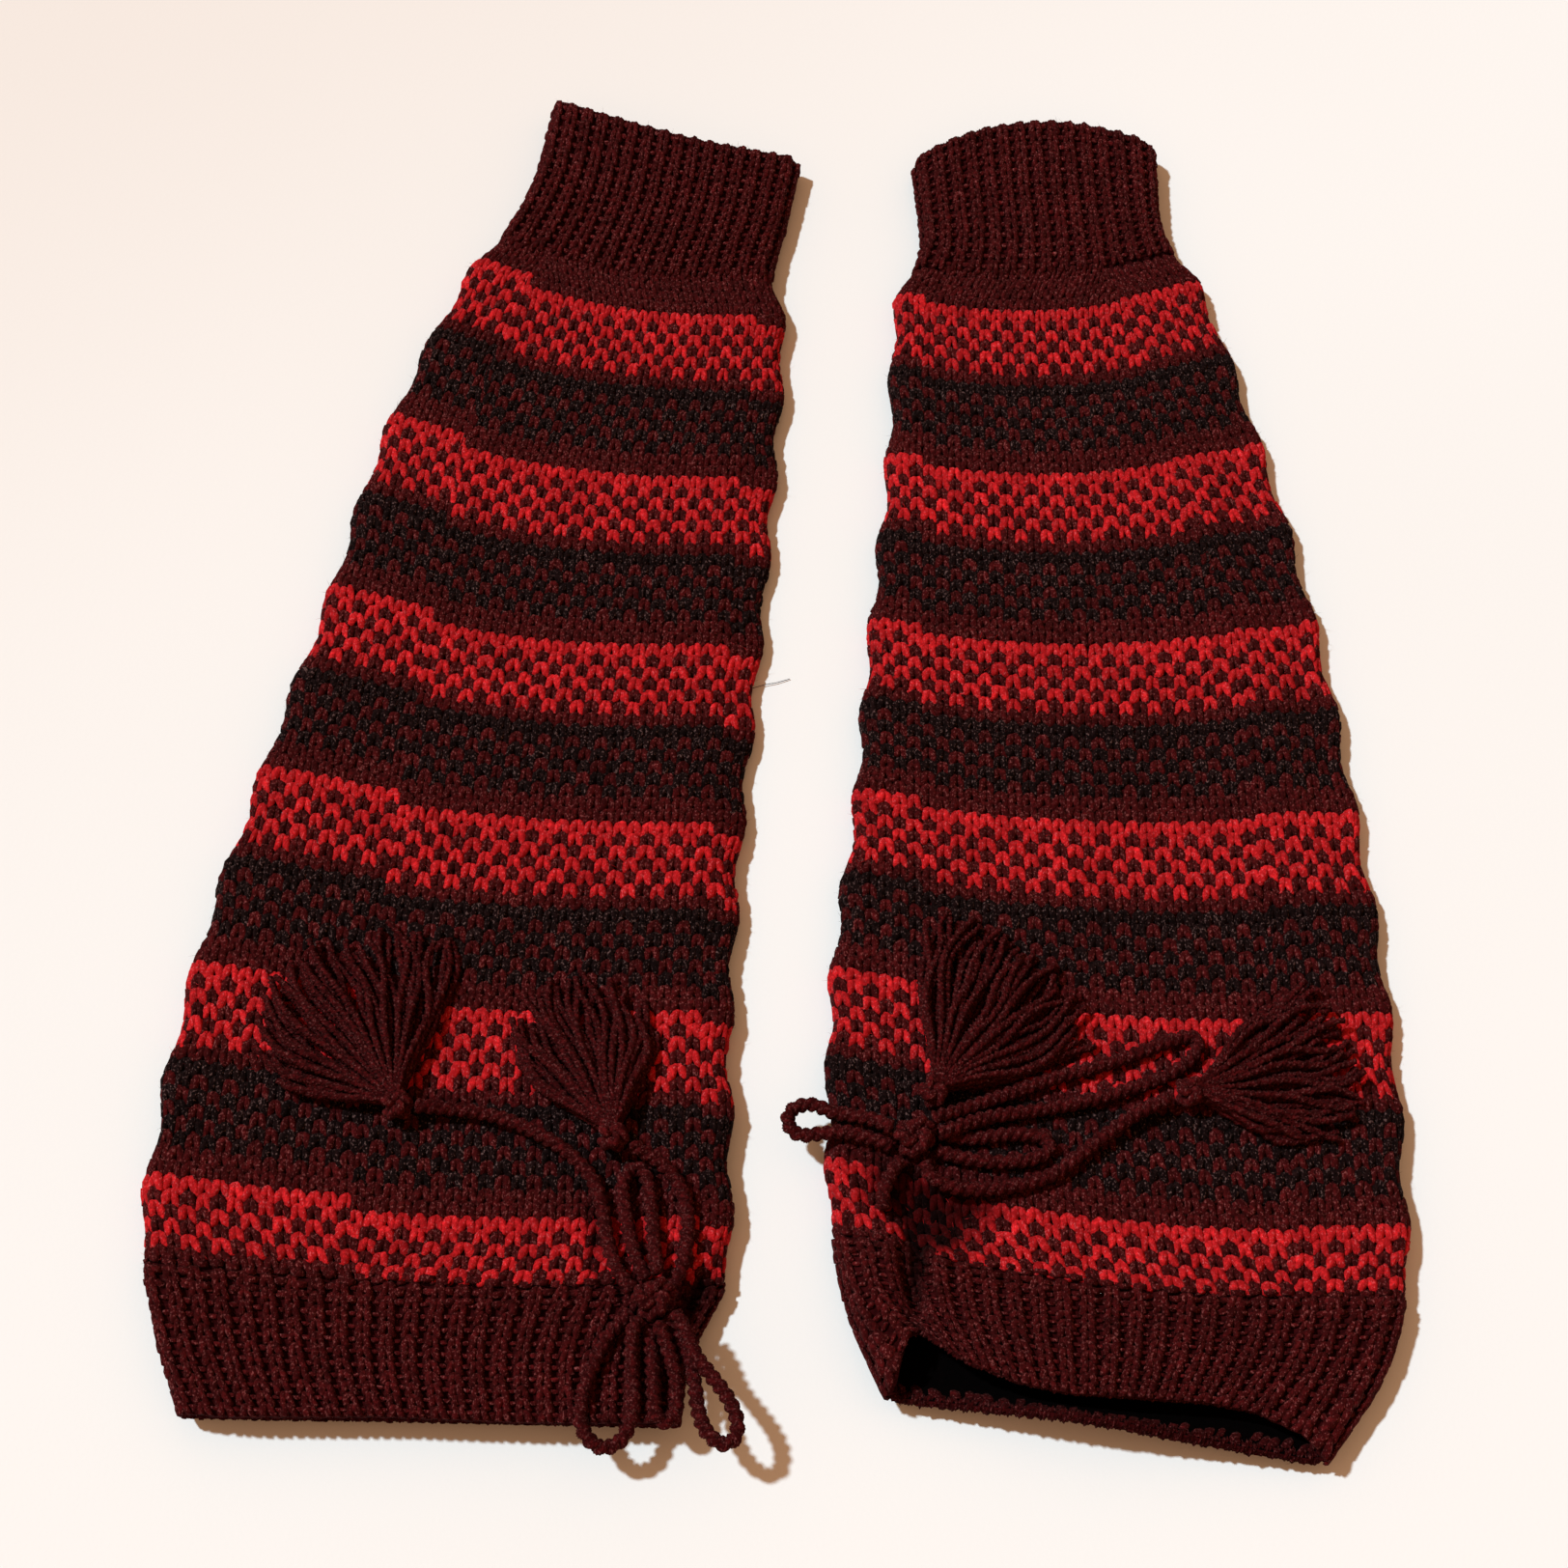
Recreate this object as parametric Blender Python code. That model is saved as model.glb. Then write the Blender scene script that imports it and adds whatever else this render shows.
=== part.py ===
"""A pair of knitted leg warmers, laid flat side by side.

Each leg warmer is a flattened tube of knitting that lies on its back: a ribbed ankle cuff,
a front panel, a back panel that wraps round both side folds, and a ribbed knee cuff.
A drawstring is tied in a bow near the knee, and its two ends carry tassels.
X runs to the right, Y along the legs towards the ankles, Z up from the surface.
"""
import math
from collections import namedtuple

import bmesh
import bpy
from mathutils import Vector

MM = 0.001

# Cloth, in metres
WALL = 2.4 * MM
LAID_HEIGHT = 10.0 * MM
FOLD_RADIUS = LAID_HEIGHT / 2
SEAM_GAP = 0.3 * MM
COURSE = 4.03 * MM
RIB_RISE = 0.8 * MM
SCALLOP_DEPTH = 1.1 * MM
SCALLOP_COURSES = 7.5
SCALLOP_START = 17.5
TUBE_MIDDLE = (0.14 * MM, -4.16 * MM)

# Courses of knitting, counted from the ankle edge
ANKLE_RIB_END = 14.0
KNEE_RIB_START = 98.0
HEM = 109.0
PANEL_STEPS = 22
ANKLE_STEPS = 3
KNEE_STEPS = 4
SEAM_IN_COURSES = SEAM_GAP / COURSE / 2
SCALLOP_FADE_COURSES = 4
DRAW_START_SHARE = 0.14

# Ribs counted over the upper layer, and points along one rib
ANKLE_RIBS = 14
KNEE_RIBS = 22
FOLD_RIBS = 2
RIB_SHAPE = ((0.15, 1), (0.65, 1), (0.90, 0))
LAST_FOLD_RIB_SHAPE = ((0.15, 0), (0.45, 1), (0.85, 1))
UNDERSIDE_START_SHARE = 0.1
RIB_LOWEST_NORMAL = -0.4
FLAT_STEPS = 5
FOLD_STEPS = 4
FRONT_STEPS = 8
STRIP_STEPS = 2

# Drawstring and tassels
CORD_DIAMETER = 3.6 * MM
LOOP_STEP = 4.6 * MM
END_STEP = 8.0 * MM
CURVE_SAMPLES = 12
KNOT_HALF = (6.0 * MM, 5.4 * MM, 4.2 * MM)
KNOT_WRAPS = 3
KNOT_WRAP_DEPTH = 0.07
PORT_RADIUS = 6.9 * MM
HEAD_RADIUS = 4.6 * MM
HEAD_SIDES = 36
HEAD_BANDS = 7
STRANDS_ACROSS = 11
STRAND_LAYERS = 3

# A row of knitting: the outer side folds of the tube in millimetres, and how far its middle
# lies nearer to the knee than the straight line between them.
Row = namedtuple("Row", "name course left_x left_y right_x right_y sag")
LEFT_ROWS = [
    Row("ankle edge", 0, -75.3, 221.5, 5.9, 196.0, 3.0),
    Row("ankle rib", 7, -80.2, 189.5, 1.4, 171.2, 5.5),
    Row("rib end", 14, -90.4, 163.5, -2.9, 148.3, 8.0),
    Row("band 1", 18, -99.8, 149.5, 0.8, 130.5, 8.3),
    Row("band 2", 33, -121.8, 87.3, -2.2, 68.5, 8.6),
    Row("band 3", 48, -135.0, 24.6, -6.3, 8.6, 7.8),
    Row("band 4", 63, -149.7, -37.3, -11.0, -51.3, 5.4),
    Row("band 5", 78, -162.0, -98.5, -13.6, -109.0, 4.9),
    Row("band 6", 93, -167.0, -159.6, -13.1, -166.6, 4.2),
    Row("knee rib", 98, -164.8, -178.7, -14.9, -184.4, 3.6),
    Row("drawn in", 101, -161.8, -189.9, -19.8, -194.4, 3.0),
    Row("knee", 104, -158.2, -201.0, -24.0, -204.8, 1.8),
    Row("knee edge", 109, -150.7, -218.1, -25.8, -220.5, 0.4),
]
RIGHT_ROWS = [
    Row("ankle edge", 0, 44.6, 195.5, 124.4, 200.6, -13.0),
    Row("ankle rib", 7, 46.2, 174.4, 123.6, 176.0, -3.6),
    Row("rib waist", 11, 46.6, 161.4, 124.6, 165.8, 3.0),
    Row("rib end", 14, 43.8, 151.0, 127.4, 157.6, 6.5),
    Row("band 1", 18, 37.8, 137.0, 134.9, 143.4, 9.4),
    Row("band 2", 33, 33.6, 73.4, 149.0, 80.2, 8.8),
    Row("band 3", 48, 27.2, 13.6, 159.2, 15.8, 7.7),
    Row("band 4", 63, 22.0, -43.6, 164.6, -47.8, 6.1),
    Row("band 5", 78, 14.8, -98.8, 167.0, -110.4, 6.3),
    Row("band 6", 93, 13.4, -153.6, 164.3, -170.6, 6.5),
    Row("knee rib", 98, 14.6, -171.0, 161.6, -187.8, 6.8),
    Row("knee", 104, 18.6, -191.6, 153.4, -208.4, 3.4),
    Row("knee edge", 109, 27.3, -213.8, 137.2, -230.0, 0.0),
]

# Seams of the front panel at a course, in millimetres in from the left and the right fold
Seam = namedtuple("Seam", "name course from_left from_right")
LEFT_SEAMS = [
    Seam("rib end", 14, 17.0, 7.5),
    Seam("band 1", 18, 19.5, 8.5),
    Seam("band 2", 33, 25.0, 10.0),
    Seam("band 3", 48, 33.0, 8.5),
    Seam("band 4", 63, 42.0, 7.5),
    Seam("band 5", 78, 51.0, 7.5),
    Seam("knee rib", 98, 57.5, 7.5),
]
RIGHT_SEAMS = [
    Seam("rib end", 14, 8.5, 25.0),
    Seam("band 1", 18, 8.8, 26.5),
    Seam("band 2", 33, 10.5, 29.0),
    Seam("band 3", 48, 15.0, 26.0),
    Seam("band 4", 63, 18.5, 30.0),
    Seam("band 5", 78, 25.0, 31.0),
    Seam("knee rib", 98, 27.0, 29.5),
]

# Ridges pushed up in the upper layer, in millimetres: half sizes along and across the ridge,
# and the turn of its length from the Y axis in degrees.
Ridge = namedtuple("Ridge", "name x y half_length half_width rise turn")
LEFT_RIDGES = [
    Ridge("above knee rib", -95.0, -181.0, 62.0, 5.0, 1.1, 92.0),
    Ridge("gather at bow", -27.0, -178.0, 13.0, 4.0, 0.9, 10.0),
    Ridge("gather left of bow", -48.0, -190.0, 16.0, 4.5, 0.8, -14.0),
    Ridge("side swell", -128.0, -20.0, 60.0, 9.0, 0.9, -13.0),
]
RIGHT_RIDGES = [
    Ridge("above knee rib", 95.0, -184.0, 55.0, 5.0, 1.2, 84.0),
    Ridge("pucker at drawstring", 27.5, -178.5, 9.0, 3.6, 3.6, 4.0),
    Ridge("lifted mouth", 55.0, -211.0, 46.0, 19.0, 6.5, 80.0),
    Ridge("side swell", 146.0, -30.0, 60.0, 9.0, 0.9, 7.0),
]

# How far the upper layer of the knee edge draws back from the lower one, in millimetres
Draw = namedtuple("Draw", "at_left at_right")
LEFT_DRAW = Draw(2.0, 2.0)
RIGHT_DRAW = Draw(17.5, 2.0)

Leg = namedtuple("Leg", "side rows seams ridges draw")
LEFT = Leg("left", LEFT_ROWS, LEFT_SEAMS, LEFT_RIDGES, LEFT_DRAW)
RIGHT = Leg("right", RIGHT_ROWS, RIGHT_SEAMS, RIGHT_RIDGES, RIGHT_DRAW)

# Bow knots: place in millimetres, and the heights of the lower and upper cords that leave them
Knot = namedtuple("Knot", "x y z low high")
LEFT_KNOT = Knot(-31.7, -190.5, 15.7, 13.3, 17.3)
RIGHT_KNOT = Knot(36.0, -146.7, 15.0, 12.6, 16.6)

# Cord routes in millimetres: the compass angle and level where a cord leaves its knot,
# the points that it passes, and the angle and level of its return, if it is a loop.
Port = namedtuple("Port", "angle level")
Cord = namedtuple("Cord", "name knot leaves points returns step")
CORDS = [
    Cord("left_loop_1", LEFT_KNOT, Port(205, "low"), [
        (-43.2, -199.3, 13.4), (-46.9, -207.2, 13.3), (-49.3, -215.9, 13.2),
        (-48.9, -222.9, 13.0), (-44.5, -227.3, 12.8), (-39.1, -225.4, 12.9),
        (-36.4, -217.8, 13.4), (-36.8, -208.8, 14.6), (-37.0, -200.5, 16.4)],
        Port(235, "high"), LOOP_STEP),
    Cord("left_loop_2", LEFT_KNOT, Port(254, "low"), [
        (-32.8, -200.0, 13.2), (-31.8, -208.0, 13.1), (-31.4, -214.6, 13.1),
        (-30.4, -219.6, 13.0), (-27.4, -221.0, 13.0), (-25.5, -216.4, 13.3),
        (-25.9, -209.4, 14.6), (-28.6, -201.5, 16.6)],
        Port(281, "high"), LOOP_STEP),
    Cord("left_loop_3", LEFT_KNOT, Port(322, "high"), [
        (-23.8, -198.6, 17.4), (-20.8, -205.6, 17.6), (-16.6, -211.0, 17.6),
        (-12.7, -216.2, 17.5), (-10.4, -221.5, 17.3), (-10.8, -226.0, 17.0),
        (-14.1, -227.3, 16.5), (-18.0, -224.0, 15.6), (-20.2, -218.2, 14.4),
        (-21.2, -211.5, 13.5), (-23.2, -204.0, 13.3)],
        Port(302, "low"), LOOP_STEP),
    Cord("left_loop_4", LEFT_KNOT, Port(112, "low"), [
        (-37.4, -177.5, 13.2), (-40.0, -166.5, 12.8), (-40.9, -158.8, 12.6),
        (-38.0, -154.6, 12.6), (-34.6, -157.6, 12.6), (-33.0, -168.0, 13.2),
        (-32.0, -178.5, 15.4)],
        Port(84, "high"), LOOP_STEP),
    Cord("left_end_a", LEFT_KNOT, Port(150, "low"), [
        (-41.6, -182.0, 13.2), (-44.4, -174.0, 12.8), (-46.0, -166.0, 12.8),
        (-48.4, -158.6, 13.2), (-54.0, -152.0, 13.8), (-61.6, -146.6, 13.8),
        (-70.4, -142.2, 13.6), (-79.2, -139.6, 13.6), (-88.2, -138.6, 14.2),
        (-95.8, -138.2, 15.2)],
        None, END_STEP),
    Cord("left_end_b", LEFT_KNOT, Port(45, "low"), [
        (-24.6, -179.6, 13.0), (-23.6, -169.6, 12.6), (-25.4, -160.8, 12.8),
        (-29.8, -154.6, 13.4), (-34.6, -151.2, 14.2), (-38.5, -149.2, 15.2)],
        None, END_STEP),
    Cord("right_loop_1", RIGHT_KNOT, Port(163, "high"), [
        (23.9, -141.6, 14.6), (14.9, -139.4, 13.0), (8.6, -136.7, 11.8),
        (3.7, -137.8, 11.2), (2.4, -141.6, 11.0), (5.5, -144.9, 11.2),
        (11.1, -144.9, 12.0), (17.4, -144.6, 12.7), (25.1, -146.6, 12.7)],
        Port(194, "low"), LOOP_STEP),
    Cord("right_loop_2", RIGHT_KNOT, Port(42, "high"), [
        (50.8, -138.2, 14.2), (62.8, -133.4, 12.8), (75.6, -128.8, 12.5),
        (88.9, -125.0, 12.5), (100.6, -120.6, 12.5), (109.0, -117.6, 12.5),
        (112.6, -118.6, 12.5), (111.8, -122.4, 12.5), (107.4, -126.6, 12.5),
        (99.8, -130.4, 12.5), (90.6, -133.4, 12.5), (79.8, -136.4, 12.5),
        (67.8, -138.7, 12.9), (54.4, -141.4, 14.4)],
        Port(4, "high"), LOOP_STEP),
    Cord("right_loop_3", RIGHT_KNOT, Port(12, "low"), [
        (50.4, -146.4, 12.5), (61.8, -145.2, 12.4), (69.2, -146.0, 12.4),
        (71.3, -149.2, 12.4), (66.2, -152.2, 12.4), (56.0, -152.8, 12.4),
        (47.0, -151.4, 12.5)],
        Port(332, "low"), LOOP_STEP),
    Cord("right_end_d", RIGHT_KNOT, Port(290, "low"), [
        (40.4, -157.0, 12.5), (47.2, -160.0, 12.4), (59.2, -159.8, 12.4),
        (71.4, -156.5, 12.6), (79.6, -150.8, 13.2), (87.1, -145.2, 14.0),
        (95.5, -139.8, 14.8), (103.6, -136.2, 15.2)],
        None, END_STEP),
    Cord("right_drawstring", RIGHT_KNOT, Port(236, "low"), [
        (29.4, -156.0, 12.5), (27.4, -161.0, 12.4), (27.0, -165.4, 12.6)],
        None, LOOP_STEP),
]

# Tassels: head in millimetres, the angle of the fan's middle, half its spread, and its reach
# at its first side, middle and last side
Tassel = namedtuple("Tassel", "name x y z aim spread reach_first reach_middle reach_last")
TASSELS = [
    Tassel("left_tassel_a", -101.2, -138.1, 15.4, 122.0, 41.0, 52.0, 54.0, 38.0),
    Tassel("left_tassel_b", -43.7, -146.9, 15.4, 106.0, 31.0, 35.0, 50.0, 39.0),
    Tassel("right_tassel_c", 41.0, -134.4, 15.4, 53.0, 33.0, 46.0, 51.0, 54.0),
    Tassel("right_tassel_d", 109.2, -134.4, 15.4, 10.0, 31.0, 35.0, 47.0, 46.0),
]
# A strand of yarn at shares of its length, in millimetres: its width and height, how far it
# drops below the head's middle, and how far apart the layers of strands lie.
Strand = namedtuple("Strand", "share width height drop layer_gap")
STRAND_STATIONS = [
    Strand(0.30, 1.5, 1.2, -1.2, 1.65),
    Strand(0.66, 1.7, 1.3, -2.6, 1.50),
    Strand(1.00, 1.0, 0.9, -3.2, 1.10),
]
STAGGER = 0.30
UNEVEN_ENDS = 6.0


def clear_scene():
    """Remove whatever the file opened with."""
    for thing in list(bpy.data.objects):
        bpy.data.objects.remove(thing)


def wool(name, colour):
    """A plain wool material."""
    material = bpy.data.materials.new(name)
    material.use_nodes = True
    shader = material.node_tree.nodes["Principled BSDF"]
    shader.inputs["Base Color"].default_value = (*colour, 1.0)
    shader.inputs["Roughness"].default_value = 0.95
    shader.inputs["Metallic"].default_value = 0.0
    return material


def smooth_value(table, column, course):
    """Read one column of a table at any course, on a smooth curve through its rows."""
    places = [row.course for row in table]
    values = [getattr(row, column) for row in table]
    last = len(places) - 1
    course = min(max(course, places[0]), places[-1])
    cell = max(i for i in range(last) if places[i] <= course or i == 0)

    def slope(i):
        before, after = max(i - 1, 0), min(i + 1, last)
        return (values[after] - values[before]) / (places[after] - places[before])

    span = places[cell + 1] - places[cell]
    t = (course - places[cell]) / span
    start, end = values[cell], values[cell + 1]
    rise_in, rise_out = slope(cell) * span, slope(cell + 1) * span
    return (start * (1 + 2 * t) * (1 - t) ** 2 + rise_in * t * (1 - t) ** 2
            + end * t * t * (3 - 2 * t) + rise_out * t * t * (t - 1))


def row_ends(leg, course):
    """The two outer side folds of a row, and its sag, in metres."""
    left = Vector((smooth_value(leg.rows, "left_x", course), smooth_value(leg.rows, "left_y", course)))
    right = Vector((smooth_value(leg.rows, "right_x", course), smooth_value(leg.rows, "right_y", course)))
    wave = SCALLOP_DEPTH * math.cos(2 * math.pi * (course - SCALLOP_START) / SCALLOP_COURSES)
    from_rib = min(course - ANKLE_RIB_END, KNEE_RIB_START - course)
    fade = min(max(from_rib / SCALLOP_FADE_COURSES, 0), 1)
    outward = (right - left).normalized() * wave * fade
    sag = smooth_value(leg.rows, "sag", course)
    return left * MM - outward, right * MM + outward, sag * MM


def row_width(leg, course):
    left, right, _sag = row_ends(leg, course)
    return (right - left).length


def ridge_rise(leg, x, y):
    """Height that the ridges add to the upper layer at a place in metres."""
    total = 0.0
    for ridge in leg.ridges:
        turn = math.radians(ridge.turn)
        away_x, away_y = x / MM - ridge.x, y / MM - ridge.y
        along = away_y * math.cos(turn) - away_x * math.sin(turn)
        aside = away_x * math.cos(turn) + away_y * math.sin(turn)
        total += ridge.rise * math.exp(-(along / ridge.half_length) ** 2 - (aside / ridge.half_width) ** 2)
    return total * MM


def knee_draw(leg, course, share):
    """How far a place on the upper layer is drawn back at the knee edge."""
    near_edge = max(0.0, (course - KNEE_RIB_START) / (HEM - KNEE_RIB_START)) ** 2
    from_left = min(share / DRAW_START_SHARE, 1.0)
    from_left = from_left * from_left * (3 - 2 * from_left)
    amount = leg.draw.at_left + (leg.draw.at_right - leg.draw.at_left) * share
    return amount * MM * near_edge * from_left * (1 - share ** 6)


def contour_point(width, run):
    """A flattened tube's outline at a run round it from the left end of its upper layer.

    Returns how far across and how high the point is, and its outward direction.
    """
    flat = width - 2 * FOLD_RADIUS
    fold = math.pi * FOLD_RADIUS
    run = run % (2 * flat + 2 * fold)
    if run < flat:
        return FOLD_RADIUS + run, LAID_HEIGHT, 0.0, 1.0
    if run < flat + fold:
        angle = math.pi / 2 - (run - flat) / FOLD_RADIUS
        centre = width - FOLD_RADIUS
    elif run < 2 * flat + fold:
        return width - FOLD_RADIUS - (run - flat - fold), 0.0, 0.0, -1.0
    else:
        angle = -math.pi / 2 - (run - 2 * flat - fold) / FOLD_RADIUS
        centre = FOLD_RADIUS
    out_x, out_z = math.cos(angle), math.sin(angle)
    return centre + FOLD_RADIUS * out_x, FOLD_RADIUS * (1 + out_z), out_x, out_z


def tube_point(leg, course, run, offset):
    """A point of the laid tube, moved out of its outline by an offset in metres."""
    left, right, sag = row_ends(leg, course)
    width = (right - left).length
    across, height, out_x, out_z = contour_point(width, run)
    across += out_x * offset
    height += out_z * offset
    share = across / width
    place = left + (right - left) * share
    upper = (out_z + 1) / 2
    y = place.y - sag * 4 * share * (1 - share)
    y += knee_draw(leg, course, min(max(share, 0), 1)) * upper
    height += ridge_rise(leg, place.x, y) * upper
    return Vector((place.x - TUBE_MIDDLE[0], y - TUBE_MIDDLE[1], height))


def grid_faces(mesh, rows, flip, ring):
    """Fill the faces between rows of vertices."""
    count = len(rows[0])
    for first, second in zip(rows, rows[1:]):
        for i in range(count if ring else count - 1):
            j = (i + 1) % count
            corners = [first[i], first[j], second[j], second[i]]
            mesh.faces.new(reversed(corners) if flip else corners)


def wall_object(name, outer, inner, ring, material):
    """A closed wall from rows of outer points and rows of inner points."""
    mesh = bmesh.new()
    outer_rows = [[mesh.verts.new(point) for point in row] for row in outer]
    inner_rows = [[mesh.verts.new(point) for point in row] for row in inner]
    grid_faces(mesh, outer_rows, False, ring)
    grid_faces(mesh, inner_rows, True, ring)
    grid_faces(mesh, [outer_rows[0], inner_rows[0]], True, ring)
    grid_faces(mesh, [outer_rows[-1], inner_rows[-1]], False, ring)
    if not ring:
        for i in range(len(outer_rows) - 1):
            near, far = outer_rows[i], outer_rows[i + 1]
            near_in, far_in = inner_rows[i], inner_rows[i + 1]
            mesh.faces.new([near[0], far[0], far_in[0], near_in[0]])
            mesh.faces.new([near[-1], near_in[-1], far_in[-1], far[-1]])
    bmesh.ops.recalc_face_normals(mesh, faces=mesh.faces)
    return mesh_object(name, mesh, material)


def mesh_object(name, mesh, material):
    """Put a finished bmesh into the scene."""
    data = bpy.data.meshes.new(name)
    mesh.to_mesh(data)
    mesh.free()
    thing = bpy.data.objects.new(name, data)
    data.materials.append(material)
    parts.objects.link(thing)
    return thing


def spread(start, stop, steps):
    """Evenly spaced numbers, both ends included."""
    return [start + (stop - start) * i / steps for i in range(steps + 1)]


def rib_runs(width, ribs):
    """Runs round a ribbed tube, with the rise of the knitting at each."""
    flat = width - 2 * FOLD_RADIUS
    fold = math.pi * FOLD_RADIUS
    runs = []
    for start, length, count in ((0, flat, ribs), (flat, fold, FOLD_RIBS)):
        pitch = length / count
        for i in range(count):
            for share, rise in RIB_SHAPE:
                runs.append((start + (i + share) * pitch, rise))
    for i in range(FLAT_STEPS):
        runs.append((flat + fold + flat * (i + UNDERSIDE_START_SHARE) / FLAT_STEPS, 0))
    pitch = fold / FOLD_RIBS
    for i in range(FOLD_RIBS):
        for share, rise in LAST_FOLD_RIB_SHAPE:
            runs.append((2 * flat + fold + (i + share) * pitch, rise))
    return runs


def rib_tube(leg, name, first, last, steps, ribs):
    """A ribbed cuff: ribs stand on the outer face, over a plain inside and underside."""
    outer, inner = [], []
    for course in spread(first, last, steps):
        width = row_width(leg, course)
        outer_row, inner_row = [], []
        for run, rise in rib_runs(width, ribs):
            _across, _height, _out_x, out_z = contour_point(width, run)
            crest = RIB_RISE * rise if out_z > RIB_LOWEST_NORMAL else 0.0
            outer_row.append(tube_point(leg, course, run, crest))
            inner_row.append(tube_point(leg, course, run, -WALL))
        outer.append(outer_row)
        inner.append(inner_row)
    return wall_object(name, outer, inner, True, MAROON)


def panel(leg, name, runs_at):
    """A panel between the two cuffs, from the runs that it covers at each course."""
    outer, inner = [], []
    start = ANKLE_RIB_END + SEAM_IN_COURSES
    stop = KNEE_RIB_START - SEAM_IN_COURSES
    for course in spread(start, stop, PANEL_STEPS):
        runs = runs_at(leg, course)
        outer.append([tube_point(leg, course, run, 0.0) for run in runs])
        inner.append([tube_point(leg, course, run, -WALL) for run in runs])
    return wall_object(name, outer, inner, False, MAROON)


def seam_places(leg, course):
    """Runs of the two seams on the upper layer, from its left end."""
    from_left = smooth_value(leg.seams, "from_left", course) * MM
    from_right = smooth_value(leg.seams, "from_right", course) * MM
    flat = row_width(leg, course) - 2 * FOLD_RADIUS
    return from_left - FOLD_RADIUS, flat + FOLD_RADIUS - from_right


def front_runs(leg, course):
    """Runs of the front panel, from seam to seam."""
    left_seam, right_seam = seam_places(leg, course)
    return spread(left_seam + SEAM_GAP / 2, right_seam - SEAM_GAP / 2, FRONT_STEPS)


def back_runs(leg, course):
    """Runs of the back panel: from the right seam, under the leg and up to the left seam."""
    left_seam, right_seam = seam_places(leg, course)
    flat = row_width(leg, course) - 2 * FOLD_RADIUS
    fold = math.pi * FOLD_RADIUS
    runs = spread(right_seam + SEAM_GAP / 2, flat, STRIP_STEPS)[:-1]
    runs += spread(flat, flat + fold, FOLD_STEPS)[:-1]
    runs += spread(flat + fold, 2 * flat + fold, FLAT_STEPS)[:-1]
    runs += spread(2 * flat + fold, 2 * flat + 2 * fold, FOLD_STEPS)[:-1]
    whole = 2 * flat + 2 * fold
    runs += spread(whole, whole + left_seam - SEAM_GAP / 2, STRIP_STEPS)
    return runs


def leg_warmer(leg):
    """The four knitted pieces of one leg warmer."""
    rib_tube(leg, leg.side + "_ankle_rib", 0.0, ANKLE_RIB_END - SEAM_IN_COURSES, ANKLE_STEPS, ANKLE_RIBS)
    panel(leg, leg.side + "_front_panel", front_runs)
    panel(leg, leg.side + "_back_panel", back_runs)
    rib_tube(leg, leg.side + "_knee_rib", KNEE_RIB_START + SEAM_IN_COURSES, HEM, KNEE_STEPS, KNEE_RIBS)


def bow_knot(name, knot):
    """A rounded knot with the turns of the cord wrapped round it."""
    mesh = bmesh.new()
    bmesh.ops.create_uvsphere(mesh, u_segments=16, v_segments=10, radius=1.0)
    for vertex in mesh.verts:
        turn = math.atan2(vertex.co.z, vertex.co.x)
        swell = 1 - KNOT_WRAP_DEPTH * (1 - math.cos(2 * KNOT_WRAPS * turn)) / 2
        vertex.co = Vector([vertex.co[i] * KNOT_HALF[i] * swell for i in range(3)])
    centre = Vector((knot.x * MM - TUBE_MIDDLE[0], knot.y * MM - TUBE_MIDDLE[1], knot.z * MM))
    bmesh.ops.translate(mesh, vec=centre, verts=mesh.verts)
    return mesh_object(name, mesh, MAROON)


def port_point(knot, port):
    """Where a cord meets its knot."""
    angle = math.radians(port.angle)
    return (knot.x + PORT_RADIUS / MM * math.cos(angle), knot.y + PORT_RADIUS / MM * math.sin(angle),
            getattr(knot, port.level))


def smooth_route(points, step):
    """Points a step apart on a smooth curve through the given points, in metres."""
    route = [Vector(point) * MM for point in points]
    ends = [route[0] * 2 - route[1]] + route + [route[-1] * 2 - route[-2]]
    fine = []
    for a, b, c, d in zip(ends, ends[1:], ends[2:], ends[3:]):
        for i in range(CURVE_SAMPLES):
            t = i / CURVE_SAMPLES
            fine.append(0.5 * (2 * b + (c - a) * t + (2 * a - 5 * b + 4 * c - d) * t * t
                               + (3 * b - a - 3 * c + d) * t ** 3))
    fine.append(route[-1])
    travelled = [0.0]
    for first, second in zip(fine, fine[1:]):
        travelled.append(travelled[-1] + (second - first).length)
    count = max(2, round(travelled[-1] / step))
    spaced, cell = [], 0
    for i in range(count + 1):
        wanted = travelled[-1] * i / count
        while cell < len(fine) - 2 and travelled[cell + 1] < wanted:
            cell += 1
        share = (wanted - travelled[cell]) / (travelled[cell + 1] - travelled[cell])
        spaced.append(fine[cell].lerp(fine[cell + 1], share))
    return spaced


def cord_object(cord):
    """One stretch of the drawstring as a round tube."""
    points = [port_point(cord.knot, cord.leaves)] + cord.points
    if cord.returns:
        points.append(port_point(cord.knot, cord.returns))
    route = smooth_route(points, cord.step)
    curve = bpy.data.curves.new(cord.name, "CURVE")
    curve.dimensions = "3D"
    spline = curve.splines.new("POLY")
    spline.points.add(len(route) - 1)
    for point, place in zip(spline.points, route):
        point.co = (place.x - TUBE_MIDDLE[0], place.y - TUBE_MIDDLE[1], place.z, 1.0)
    curve.bevel_depth = CORD_DIAMETER / 2
    curve.bevel_resolution = 2
    curve.use_fill_caps = True
    thing = bpy.data.objects.new(cord.name, curve)
    curve.materials.append(MAROON)
    parts.objects.link(thing)
    return thing


def shape_strand_end(face, centre, side, width, height):
    """Set the four corners of a strand's end round its middle."""
    middle = face.calc_center_median()
    for vertex in face.verts:
        away = vertex.co - middle
        to_side = math.copysign(width / 2, away.dot(side))
        to_top = math.copysign(height / 2, away.z)
        vertex.co = centre + side * to_side + Vector((0, 0, to_top))


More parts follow.
